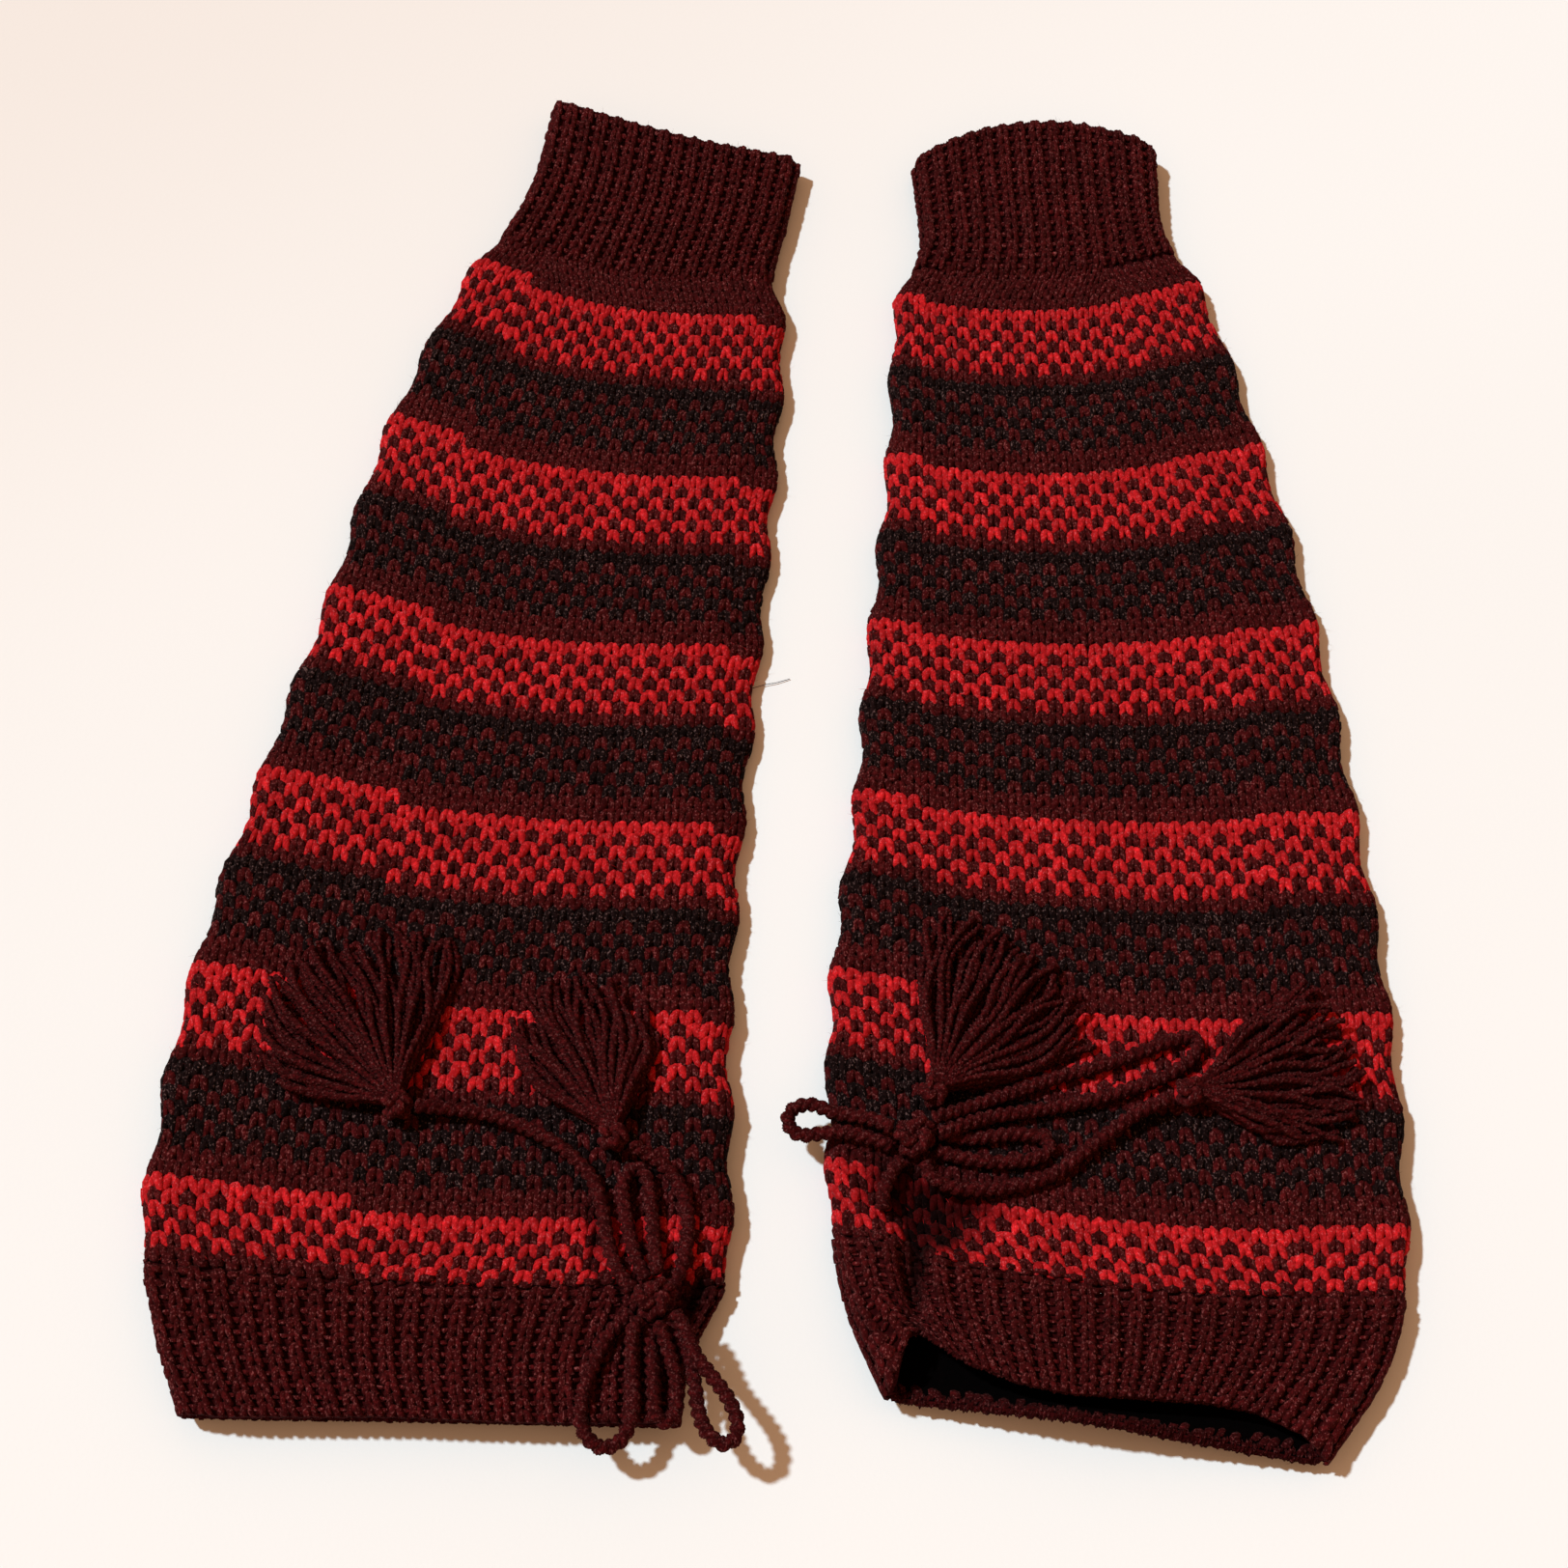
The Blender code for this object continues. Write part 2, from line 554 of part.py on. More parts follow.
def fan_reach(tassel, side, column, layer):
    """A strand's reach in millimetres, from its side of the fan, -1 to 1, and its place there."""
    uneven = 0.5 + 0.5 * math.sin(column * 2.3 + layer * 4.1)
    side_reach = tassel.reach_first if side < 0 else tassel.reach_last
    return tassel.reach_middle + (side_reach - tassel.reach_middle) * side * side - UNEVEN_ENDS * uneven


def tassel_object(tassel):
    """A round head whose front faces are drawn out into strands that fan over the cloth."""
    mesh = bmesh.new()
    bmesh.ops.create_uvsphere(mesh, u_segments=HEAD_SIDES, v_segments=HEAD_BANDS, radius=HEAD_RADIUS)
    head_step = 2 * math.pi / HEAD_SIDES
    aim = math.radians(tassel.aim)
    first = round(aim / head_step) - STRANDS_ACROSS // 2
    band_height = math.radians(180 / HEAD_BANDS)
    strands = []
    for column in range(STRANDS_ACROSS):
        angle = (first + column + 0.5) * head_step
        for layer in range(STRAND_LAYERS):
            tilt = (layer - 1) * band_height
            level = math.cos(tilt)
            wanted = Vector((math.cos(angle) * level, math.sin(angle) * level, math.sin(tilt)))
            face = max(mesh.faces, key=lambda f: f.calc_center_median().normalized().dot(wanted))
            strands.append((column, layer, angle, face))
    for column, layer, root_angle, face in strands:
        offset = column - (STRANDS_ACROSS - 1) / 2 + STAGGER * (layer - 1)
        tip_angle = aim + math.radians(tassel.spread) * offset / (STRANDS_ACROSS / 2)
        reach = fan_reach(tassel, 2 * offset / (STRANDS_ACROSS - 1), column, layer) * MM
        for station in STRAND_STATIONS:
            ease = station.share * station.share * (3 - 2 * station.share)
            angle = root_angle + (tip_angle - root_angle) * ease
            out = HEAD_RADIUS + (reach - HEAD_RADIUS) * station.share
            height = (station.drop + station.layer_gap * (layer - 1)) * MM
            centre = Vector((out * math.cos(angle), out * math.sin(angle), height))
            side = Vector((-math.sin(angle), math.cos(angle), 0))
            face = bmesh.ops.extrude_discrete_faces(mesh, faces=[face])["faces"][0]
            shape_strand_end(face, centre, side, station.width * MM, station.height * MM)
    place = Vector((tassel.x * MM - TUBE_MIDDLE[0], tassel.y * MM - TUBE_MIDDLE[1], tassel.z * MM))
    bmesh.ops.translate(mesh, vec=place, verts=mesh.verts)
    bmesh.ops.recalc_face_normals(mesh, faces=mesh.faces)
    return mesh_object(tassel.name, mesh, MAROON)


clear_scene()
parts = bpy.data.collections.new("leg warmers")
bpy.context.scene.collection.children.link(parts)
MAROON = wool("maroon wool", (0.055, 0.006, 0.008))

leg_warmer(LEFT)
leg_warmer(RIGHT)
bow_knot("left_bow_knot", LEFT_KNOT)
bow_knot("right_bow_knot", RIGHT_KNOT)
for cord in CORDS:
    cord_object(cord)
for tassel in TASSELS:
    tassel_object(tassel)
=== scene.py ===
"""A pair of knitted leg warmers, laid flat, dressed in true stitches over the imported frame.

Every knitted piece is a thin shell of cloth with its stitches laid over it: plump legs in pairs for
the plain knitting and the ribs, beads for the sunk columns, a twisted roll for the edges. The
drawstrings are twisted cords with tied knots, and each tassel is a fan of twisted yarn.
X runs to the right, Y along the legs towards the ankles, Z up from the surface.
"""
import math
from collections import namedtuple

import bpy
import numpy as np
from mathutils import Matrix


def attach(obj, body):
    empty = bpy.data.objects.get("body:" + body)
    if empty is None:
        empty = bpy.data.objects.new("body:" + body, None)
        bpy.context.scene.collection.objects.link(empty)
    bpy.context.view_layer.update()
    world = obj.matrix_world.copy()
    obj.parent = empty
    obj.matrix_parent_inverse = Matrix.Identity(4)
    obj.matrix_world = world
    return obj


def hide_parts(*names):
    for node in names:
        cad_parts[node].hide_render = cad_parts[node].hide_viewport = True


MM = 0.001

# Cloth, in metres
WALL = 2.4 * MM
LAID_HEIGHT = 10.0 * MM
FOLD_RADIUS = LAID_HEIGHT / 2
SEAM_GAP = 0.3 * MM
COURSE = 4.03 * MM
RIB_RISE = 0.8 * MM
SCALLOP_DEPTH = 1.1 * MM
SCALLOP_COURSES = 7.5
SCALLOP_START = 17.5
SCALLOP_FADE_COURSES = 4
SCALLOP_REACH = 7.0 * MM
TUBE_MIDDLE = (0.14 * MM, -4.16 * MM)
FOLD_RUN = math.pi * FOLD_RADIUS

# Courses of knitting, counted from the ankle edge
ANKLE_RIB_END = 14.0
KNEE_RIB_START = 98.0
HEM = 109.0
SEAM_IN_COURSES = SEAM_GAP / COURSE / 2

# The shell of cloth under the stitches, in metres
SHELL_TOP = -0.95 * MM
SHELL_WALL = WALL + SHELL_TOP

# A row of knitting: the outer side folds of the tube in millimetres, and how far its middle
# lies nearer to the knee than the straight line between them
Row = namedtuple("Row", "name course left_x left_y right_x right_y sag")
LEFT_ROWS = [
    Row("ankle edge", 0, -75.3, 221.5, 5.9, 196.0, 3.0),
    Row("ankle rib", 7, -80.2, 189.5, 1.4, 171.2, 5.5),
    Row("rib end", 14, -90.4, 163.5, -2.9, 148.3, 8.0),
    Row("band 1", 18, -99.8, 149.5, 0.8, 130.5, 8.3),
    Row("band 2", 33, -121.8, 87.3, -2.2, 68.5, 8.6),
    Row("band 3", 48, -135.0, 24.6, -6.3, 8.6, 7.8),
    Row("band 4", 63, -149.7, -37.3, -11.0, -51.3, 5.4),
    Row("band 5", 78, -162.0, -98.5, -13.6, -109.0, 4.9),
    Row("band 6", 93, -167.0, -159.6, -13.1, -166.6, 4.2),
    Row("knee rib", 98, -164.8, -178.7, -14.9, -184.4, 3.6),
    Row("drawn in", 101, -161.8, -189.9, -19.8, -194.4, 3.0),
    Row("knee", 104, -158.2, -201.0, -24.0, -204.8, 1.8),
    Row("knee edge", 109, -150.7, -218.1, -25.8, -220.5, 0.4),
]
RIGHT_ROWS = [
    Row("ankle edge", 0, 44.6, 195.5, 124.4, 200.6, -13.0),
    Row("ankle rib", 7, 46.2, 174.4, 123.6, 176.0, -3.6),
    Row("rib waist", 11, 46.6, 161.4, 124.6, 165.8, 3.0),
    Row("rib end", 14, 43.8, 151.0, 127.4, 157.6, 6.5),
    Row("band 1", 18, 37.8, 137.0, 134.9, 143.4, 9.4),
    Row("band 2", 33, 33.6, 73.4, 149.0, 80.2, 8.8),
    Row("band 3", 48, 27.2, 13.6, 159.2, 15.8, 7.7),
    Row("band 4", 63, 22.0, -43.6, 164.6, -47.8, 6.1),
    Row("band 5", 78, 14.8, -98.8, 167.0, -110.4, 6.3),
    Row("band 6", 93, 13.4, -153.6, 164.3, -170.6, 6.5),
    Row("knee rib", 98, 14.6, -171.0, 161.6, -187.8, 6.8),
    Row("knee", 104, 18.6, -191.6, 153.4, -208.4, 3.4),
    Row("knee edge", 109, 27.3, -213.8, 137.2, -230.0, 0.0),
]

# Seams of the front panel at a course, in millimetres in from the left and the right fold
Seam = namedtuple("Seam", "name course from_left from_right")
LEFT_SEAMS = [
    Seam("rib end", 14, 17.0, 7.5),
    Seam("band 1", 18, 19.5, 8.5),
    Seam("band 2", 33, 25.0, 10.0),
    Seam("band 3", 48, 33.0, 8.5),
    Seam("band 4", 63, 42.0, 7.5),
    Seam("band 5", 78, 51.0, 7.5),
    Seam("knee rib", 98, 57.5, 7.5),
]
RIGHT_SEAMS = [
    Seam("rib end", 14, 8.5, 25.0),
    Seam("band 1", 18, 8.8, 26.5),
    Seam("band 2", 33, 10.5, 29.0),
    Seam("band 3", 48, 15.0, 26.0),
    Seam("band 4", 63, 18.5, 30.0),
    Seam("band 5", 78, 25.0, 31.0),
    Seam("knee rib", 98, 27.0, 29.5),
]

# Width of a stitch at a course, in millimetres
Gauge = namedtuple("Gauge", "course width")
GAUGES = [Gauge(14, 3.35), Gauge(18, 3.45), Gauge(33, 3.85), Gauge(48, 4.05), Gauge(63, 4.1), Gauge(98, 4.2)]

# Ridges and soft creases, in millimetres: half sizes along and across, and the turn of the length
# from the Y axis in degrees. A trough has a negative rise.
Ridge = namedtuple("Ridge", "name x y half_length half_width rise turn")
LEFT_RIDGES = [
    Ridge("above knee rib", -95.0, -181.0, 62.0, 5.0, 1.1, 92.0),
    Ridge("gather at bow", -27.0, -178.0, 13.0, 4.0, 0.9, 10.0),
    Ridge("gather left of bow", -48.0, -190.0, 16.0, 4.5, 0.8, -14.0),
    Ridge("side swell", -128.0, -20.0, 60.0, 9.0, 0.9, -13.0),
]
RIGHT_RIDGES = [
    Ridge("above knee rib", 95.0, -184.0, 55.0, 5.0, 1.2, 84.0),
    Ridge("pucker at drawstring", 27.5, -178.5, 9.0, 3.6, 3.6, 4.0),
    Ridge("lifted mouth", 55.0, -211.0, 46.0, 19.0, 6.5, 80.0),
    Ridge("side swell", 146.0, -30.0, 60.0, 9.0, 0.9, 7.0),
]
LEFT_CREASES = [
    Ridge("seam swell", -98.0, 60.0, 48.0, 8.0, 0.5, -8.0),
    Ridge("trough by straight seam", -17.0, 30.0, 70.0, 6.0, -0.45, 4.0),
    Ridge("thin side", -6.5, 20.0, 130.0, 9.0, -3.6, -3.4),
    Ridge("trough over calf", -80.0, -70.0, 38.0, 7.0, -0.5, 84.0),
    Ridge("slack at ankle", -55.0, 150.0, 30.0, 6.0, -0.5, 76.0),
    Ridge("trough under bow", -40.0, -170.0, 22.0, 5.0, -0.6, -20.0),
    Ridge("gather below bow", -36.0, -206.0, 12.0, 3.0, 0.5, 4.0),
    Ridge("hollow beside bow", -21.5, -188.0, 10.0, 3.8, -4.6, -32.0),
    Ridge("crease left of bow", -47.5, -172.0, 11.0, 2.6, -2.8, 2.0),
    Ridge("gather at knee edge", -62.0, -206.0, 12.0, 3.4, 0.45, 8.0),
    Ridge("lifted hem", -88.0, -220.0, 70.0, 9.0, 1.6, 88.9),
]
RIGHT_CREASES = [
    Ridge("swell on seam", 47.0, 30.0, 60.0, 7.0, 0.5, 3.0),
    Ridge("trough over calf", 100.0, -60.0, 40.0, 7.0, -0.5, 95.0),
    Ridge("slack at ankle", 90.0, 146.0, 30.0, 6.0, -0.5, 98.0),
    Ridge("thin side", 152.0, 0.0, 130.0, 9.0, -3.6, 7.2),
    Ridge("hollow at drawstring", 43.0, -166.0, 14.0, 7.5, -5.6, 66.0),
    Ridge("fold from hollow", 35.5, -183.0, 13.0, 2.8, -5.0, -3.0),
    Ridge("rib tube by the fold", 22.0, -184.0, 15.0, 3.2, 1.4, 4.0),
    Ridge("swell beside the fold", 41.5, -186.0, 13.0, 3.4, 1.3, -5.0),
    Ridge("gather by mouth", 60.0, -196.0, 10.0, 3.2, 0.5, -14.0),
    Ridge("gather on knee rib", 104.0, -203.0, 12.0, 3.6, 0.45, -10.0),
]
LEFT_UNDER_CREASES = [
    Ridge("fold over heel side", -60.0, 120.0, 40.0, 5.0, 1.5, 62.0),
    Ridge("fold over calf", -96.0, 10.0, 52.0, 6.0, 1.8, 75.0),
    Ridge("fold at knee", -92.0, -120.0, 56.0, 6.5, 1.7, 98.0),
    Ridge("gather at knee rib", -80.0, -182.0, 50.0, 4.5, 1.2, 90.0),
    Ridge("curled edge", -88.0, -220.5, 80.0, 6.0, 6.2, 88.9),
]
RIGHT_UNDER_CREASES = [
    Ridge("fold over heel side", 84.0, 116.0, 36.0, 5.0, 1.5, -66.0),
    Ridge("fold over calf", 96.0, 6.0, 50.0, 6.0, 1.8, -74.0),
    Ridge("fold at knee", 92.0, -118.0, 54.0, 6.5, 1.7, -97.0),
    Ridge("gather at knee rib", 88.0, -184.0, 48.0, 4.5, 1.2, 84.0),
    Ridge("curled edge", 80.0, -222.5, 66.0, 6.2, 8.0, 81.6),
    Ridge("lip drawn up", 77.0, -221.5, 24.0, 6.0, 4.2, 81.6),
]

# How far the upper layer of the knee edge draws back from the lower one, in millimetres, at shares
# of the width
Draw = namedtuple("Draw", "share back")
LEFT_DRAWS = [Draw(0.0, 0.0), Draw(0.1, -0.6), Draw(0.4, 0.3), Draw(0.7, -0.5), Draw(1.0, 0.0)]
RIGHT_DRAWS = [
    Draw(0.0, 0.0),
    Draw(0.03, 8.0),
    Draw(0.055, 16.0),
    Draw(0.08, 17.5),
    Draw(0.12, 14.5),
    Draw(0.19, 10.0),
    Draw(0.30, 6.8),
    Draw(0.41, 6.0),
    Draw(0.51, 7.2),
    Draw(0.62, 8.6),
    Draw(0.73, 10.0),
    Draw(0.84, 9.6),
    Draw(0.95, 5.6),
    Draw(1.0, 0.8),
]

# How many rows the side strips sit nearer to the ankle than the front panel, at a course
Shift = namedtuple("Shift", "course left_strip right_strip")
LEFT_SHIFTS = [Shift(14, 1.1, -0.9), Shift(98, 1.1, -0.9)]
RIGHT_SHIFTS = [Shift(14, 0.4, 0.3), Shift(33, 0.8, 0.3), Shift(98, 0.8, 0.3)]

# Painted shade: where the cloth folds in on itself or lies under a bow or cord, its yarn's tone is darkened
# to stand in for deep shade; rise is the share of tone lost
LEFT_PAINTED_SHADES = [
    Ridge("hollow beside bow", -21.5, -188.0, 10.0, 3.6, 0.85, -32.0),
    Ridge("crease left of bow", -47.5, -172.0, 10.0, 2.2, 0.6, 2.0),
]
RIGHT_PAINTED_SHADES = [
    Ridge("hollow at drawstring", 39.5, -164.5, 12.0, 7.0, 1.2, 66.0),
    Ridge("painted shade under bow", 31.0, -157.5, 9.0, 5.5, 1.0, 60.0),
    Ridge("foot of hollow", 40.5, -172.0, 7.5, 4.5, 0.9, 62.0),
    Ridge("shade under end", 52.0, -163.5, 8.0, 3.0, 0.7, 82.0),
    Ridge("fold from hollow", 35.5, -181.0, 12.0, 2.6, 0.8, -3.0),
]

# A leg warmer: its tables, the roll's radius at the lower knee edge, the flat cuts of its two cuffs,
# the side where the front panel's columns run along the seam, and its seed
Leg = namedtuple("Leg", "side rows seams ridges creases under_creases deeps draws shifts"
                        " lower_roll ankle_cut knee_cut straight_side seed")
LEFT = Leg("left", LEFT_ROWS, LEFT_SEAMS, LEFT_RIDGES, LEFT_CREASES, LEFT_UNDER_CREASES,
           LEFT_PAINTED_SHADES, LEFT_DRAWS, LEFT_SHIFTS, 1.3 * MM, (0.181, 0.0595), (0.284, 0.0350), "right", 11)
RIGHT = Leg("right", RIGHT_ROWS, RIGHT_SEAMS, RIGHT_RIDGES, RIGHT_CREASES, RIGHT_UNDER_CREASES,
            RIGHT_PAINTED_SHADES, RIGHT_DRAWS, RIGHT_SHIFTS, 2.1 * MM, (0.169, 0.0630), (0.280, 0.0362), "left", 23)

# The chart: fifteen rows from each red row. Coloured stitches in the bold rows are wider and stand
# out by so many millimetres.
CHART_START = 18
CHART_ROWS = 15
RED_CHECK_ROWS = (1, 2, 3, 4, 5)
BLACK_ROW = 7
BLACK_CHECK_ROWS = (8, 9, 10, 11, 12)
BOLD_ROWS = (2, 4, 9, 11)
BOLD_WIDTH = 1.22
BOLD_LIFT = 0.14
MAROON, RED, BLACK = 0, 1, 2

# Stitches: how many rows they lie towards the ankle, how far they lap over a seam, how far in rows
# they may pass an edge, the width that one is modelled at, and how much lower they lie underneath
STITCH_LEAD = 0.3
SEAM_OVERLAP = 1.2 * MM
EDGE_REACH = 0.1
STITCH_WIDTH = 4.0
UNDER_DROP = 0.12
MOST_COLUMNS = 60
LOWEST_YARN = 0.03 * MM

# How stitches differ: shares of width and length, shifts in millimetres, uneven yarn, tone, and how
# far apart in its grain each copy starts
WIDTH_VARIES = 0.06
LENGTH_VARIES = 0.03
SHIFT_ACROSS = 0.09
SHIFT_ALONG = 0.14
SHIFT_UP = 0.07
UNEVEN_YARN = 0.11
TONE_VARIES = 0.07
GRAIN_SPREAD = 40

# Painted shade: shares of tone that the sunk ends of a stitch lose, and the most that the painted shade of a
# hollow takes
PLAIN_SHADE = 0.45
RED_SHADE = 0.10
RIB_SHADE = 0.20
DEEPEST_SHADE = 0.92
SUNK_DEPTH = 1.0
SUNK_RANGE = 0.9

# Ribs: pitch, and in one repeat the place and width of the rib and of the furrow beside it
ANKLE_RIB_MIDDLE = 7.0
ANKLE_RIB_PITCH = 5.33 * MM
KNEE_RIB_PITCH = 6.36 * MM
RIB_PLACE = 0.40
RIB_SHARE = 0.62
FURROW_PLACE = 0.90
FURROW_SHARE = 0.34
FURROW_DEPTH = 0.22
# Painted light: the furrow's beads are lighter than the rib stitches, standing in for light that reaches
# into the furrow
FURROW_PAINTED_LIGHT = 1.20

# The rolled edges, the row of bumps that shows inside the mouth, and the rows of bars at the knee
# rib's join, each a course and a height in millimetres
ANKLE_ROLL_RADIUS = 1.1 * MM
ANKLE_ROLL_COURSE = 0.1
KNEE_ROLL_RADIUS = 1.4 * MM
KNEE_ROLL_COURSE = 108.7
ROLL_PITCH = 5.6 * MM
ROLL_SIDES = 8
ROLL_STEP = 1.0 * MM
INNER_COURSE = 108.1
INNER_SHIFT = 0.05
INNER_DENSITY = 1.3
BAR_ROWS = ((97.75, 0.15), (98.55, 0.45), (99.3, 0.35))

# Rows of faces along the shells of cloth
PANEL_SHELL_ROWS = 56
ANKLE_SHELL_ROWS = 9
KNEE_SHELL_ROWS = 8

# Drawstring and tassels
CORD_DIAMETER = 3.6 * MM
CORD_PITCH = 5.6 * MM
PLY_SWELL = 1.22
PLY_OFFSET = 0.30
PLY_OFFSET_SQUARED = 0.09
PLY_RADIUS_SQUARED = 0.49
CORD_SIDES = 12
CORD_STEP = 0.6 * MM
CURVE_SAMPLES = 12
KNOT_HALF = (6.6, 5.9, 4.4)
KNOT_SWELL = 1.15
KNOT_TURN = 0.5
KNOT_SAMPLES = 90
PORT_RADIUS = 6.9
HEAD_RADIUS = 4.6
HEAD_HALF = (4.7, 4.7, 4.0)
HEAD_CORD = 1.75
HEAD_SAMPLES = 70
STRANDS_ACROSS = 13
STRAND_LAYERS = 4
STRAND_RINGS = 42
STRAND_SIDES = 5
STRAND_PITCH = 6.2
STAGGER = 0.27
UNEVEN_ENDS = 6.0
FAN_START = 0.55
LAYER_PRESS = 0.8
BEND_RISE = 0.7
BEND_SWING = 0.055
LOWEST_STRAND = 11.0 * MM

Knot = namedtuple("Knot", "x y z low high")
LEFT_KNOT = Knot(-31.7, -190.5, 15.7, 13.3, 17.3)
RIGHT_KNOT = Knot(36.0, -146.7, 15.0, 12.6, 16.6)

# Cord routes in millimetres, as the solids have them
Port = namedtuple("Port", "angle level")
Cord = namedtuple("Cord", "name knot leaves points returns")
CORDS = [
    Cord("left_loop_1", LEFT_KNOT, Port(205, "low"), [
        (-43.2, -199.3, 13.4), (-46.9, -207.2, 13.3), (-49.3, -215.9, 13.2),
        (-48.9, -222.9, 13.0), (-44.5, -227.3, 12.8), (-39.1, -225.4, 12.9),
        (-36.4, -217.8, 13.4), (-36.8, -208.8, 14.6), (-37.0, -200.5, 16.4)],
        Port(235, "high")),
    Cord("left_loop_2", LEFT_KNOT, Port(254, "low"), [
        (-32.8, -200.0, 13.2), (-31.8, -208.0, 13.1), (-31.4, -214.6, 13.1),
        (-30.4, -219.6, 13.0), (-27.4, -221.0, 13.0), (-25.5, -216.4, 13.3),
        (-25.9, -209.4, 14.6), (-28.6, -201.5, 16.6)],
        Port(281, "high")),
    Cord("left_loop_3", LEFT_KNOT, Port(322, "high"), [
        (-23.8, -198.6, 17.4), (-20.8, -205.6, 17.6), (-16.6, -211.0, 17.6),
        (-12.7, -216.2, 17.5), (-10.4, -221.5, 17.3), (-10.8, -226.0, 17.0),
        (-14.1, -227.3, 16.5), (-18.0, -224.0, 15.6), (-20.2, -218.2, 14.4),
        (-21.2, -211.5, 13.5), (-23.2, -204.0, 13.3)],
        Port(302, "low")),
    Cord("left_loop_4", LEFT_KNOT, Port(112, "low"), [
        (-37.4, -177.5, 13.2), (-40.0, -166.5, 12.8), (-40.9, -158.8, 12.6),
        (-38.0, -154.6, 12.6), (-34.6, -157.6, 12.6), (-33.0, -168.0, 13.2),
        (-32.0, -178.5, 15.4)],
        Port(84, "high")),
    Cord("left_end_a", LEFT_KNOT, Port(150, "low"), [
        (-41.6, -182.0, 13.2), (-44.4, -174.0, 12.8), (-46.0, -166.0, 12.8),
        (-48.4, -158.6, 13.2), (-54.0, -152.0, 13.8), (-61.6, -146.6, 13.8),
        (-70.4, -142.2, 13.6), (-79.2, -139.6, 13.6), (-88.2, -138.6, 14.2),
        (-95.8, -138.2, 15.2)],
        None),
    Cord("left_end_b", LEFT_KNOT, Port(45, "low"), [
        (-24.6, -179.6, 13.0), (-23.6, -169.6, 12.6), (-25.4, -160.8, 12.8),
        (-29.8, -154.6, 13.4), (-34.6, -151.2, 14.2), (-38.5, -149.2, 15.2)],
        None),
    Cord("right_loop_1", RIGHT_KNOT, Port(163, "high"), [
        (23.9, -141.6, 14.6), (14.9, -139.4, 13.0), (8.6, -136.7, 11.8),
        (3.7, -137.8, 11.2), (2.4, -141.6, 11.0), (5.5, -144.9, 11.2),
        (11.1, -144.9, 12.0), (17.4, -144.6, 12.7), (25.1, -146.6, 12.7)],
        Port(194, "low")),
    Cord("right_loop_2", RIGHT_KNOT, Port(42, "high"), [
        (50.8, -138.2, 14.2), (62.8, -133.4, 12.8), (75.6, -128.8, 12.5),
        (88.9, -125.0, 12.5), (100.6, -120.6, 12.5), (109.0, -117.6, 12.5),
        (112.6, -118.6, 12.5), (111.8, -122.4, 12.5), (107.4, -126.6, 12.5),
        (99.8, -130.4, 12.5), (90.6, -133.4, 12.5), (79.8, -136.4, 12.5),
        (67.8, -138.7, 12.9), (54.4, -141.4, 14.4)],
        Port(4, "high")),
    Cord("right_loop_3", RIGHT_KNOT, Port(12, "low"), [
        (50.4, -146.4, 12.5), (61.8, -145.2, 12.4), (69.2, -146.0, 12.4),
        (71.3, -149.2, 12.4), (66.2, -152.2, 12.4), (56.0, -152.8, 12.4),
        (47.0, -151.4, 12.5)],
        Port(332, "low")),
    Cord("right_end_d", RIGHT_KNOT, Port(290, "low"), [
        (40.4, -157.0, 12.5), (47.2, -160.0, 12.4), (59.2, -159.8, 12.4),
        (71.4, -156.5, 12.6), (79.6, -150.8, 13.2), (87.1, -145.2, 14.0),
        (95.5, -139.8, 14.8), (103.6, -136.2, 15.2)],
        None),
    Cord("right_drawstring", RIGHT_KNOT, Port(236, "low"), [
        (29.4, -156.0, 12.5), (27.4, -161.0, 12.4), (27.0, -165.4, 12.6)],
        None),
]
# The knot and the tassel that go with a cord. The drawstring's stub is held at both ends.
KNOT_HOLDER = {"left_loop_1": "left", "right_loop_2": "right"}
TASSEL_OF = {"left_end_a": "left_tassel_a", "left_end_b": "left_tassel_b",
             "right_end_d": "right_tassel_d", "right_loop_2": "right_tassel_c"}
HELD_STUB = "right_drawstring"

# Tassels: head in millimetres, the angle of the fan's middle, half its spread, and its reach
# at its first side, middle and last side
Tassel = namedtuple("Tassel", "name x y z aim spread reach_first reach_middle reach_last")
TASSELS = [
    Tassel("left_tassel_a", -101.2, -138.1, 15.4, 122.0, 41.0, 52.0, 54.0, 38.0),
    Tassel("left_tassel_b", -43.7, -146.9, 15.4, 106.0, 31.0, 35.0, 50.0, 39.0),
    Tassel("right_tassel_c", 41.0, -134.4, 15.4, 53.0, 33.0, 46.0, 51.0, 54.0),
    Tassel("right_tassel_d", 109.2, -134.4, 15.4, 10.0, 31.0, 35.0, 47.0, 46.0),
]
# A strand at shares of its length, in millimetres: its radius, how far it drops below the head's
# middle, and how far apart the layers of strands lie
Strand = namedtuple("Strand", "share radius drop layer_gap")
STRAND_STATIONS = [
    Strand(0.00, 0.85, 0.0, 1.60),
    Strand(0.30, 1.20, -1.0, 1.65),
    Strand(0.66, 1.48, -2.2, 1.50),
    Strand(1.00, 1.15, -2.9, 1.10),
]

# Stray fibres: hairs on each leg warmer, and one loose fibre's route in millimetres
CURVED_HAIRS = 1200
STRAIGHT_HAIRS = 9000
HAIRS_BELOW = 0.12
HAIR_RADIUS = 0.065 * MM
HAIR_SINK = 0.3 * MM
LOWEST_HAIR = 0.05 * MM
LOOSE_FIBRE = [(-8.4, -2.4, 1.2), (-6.2, -1.5, 0.9), (-3.6, -0.6, 0.7), (-1.2, -0.1, 0.6),
               (1.2, 0.7, 0.5), (3.1, 1.4, 0.4)]
LOOSE_RADIUS = 0.16 * MM
LOOSE_PITCH = 2.0 * MM
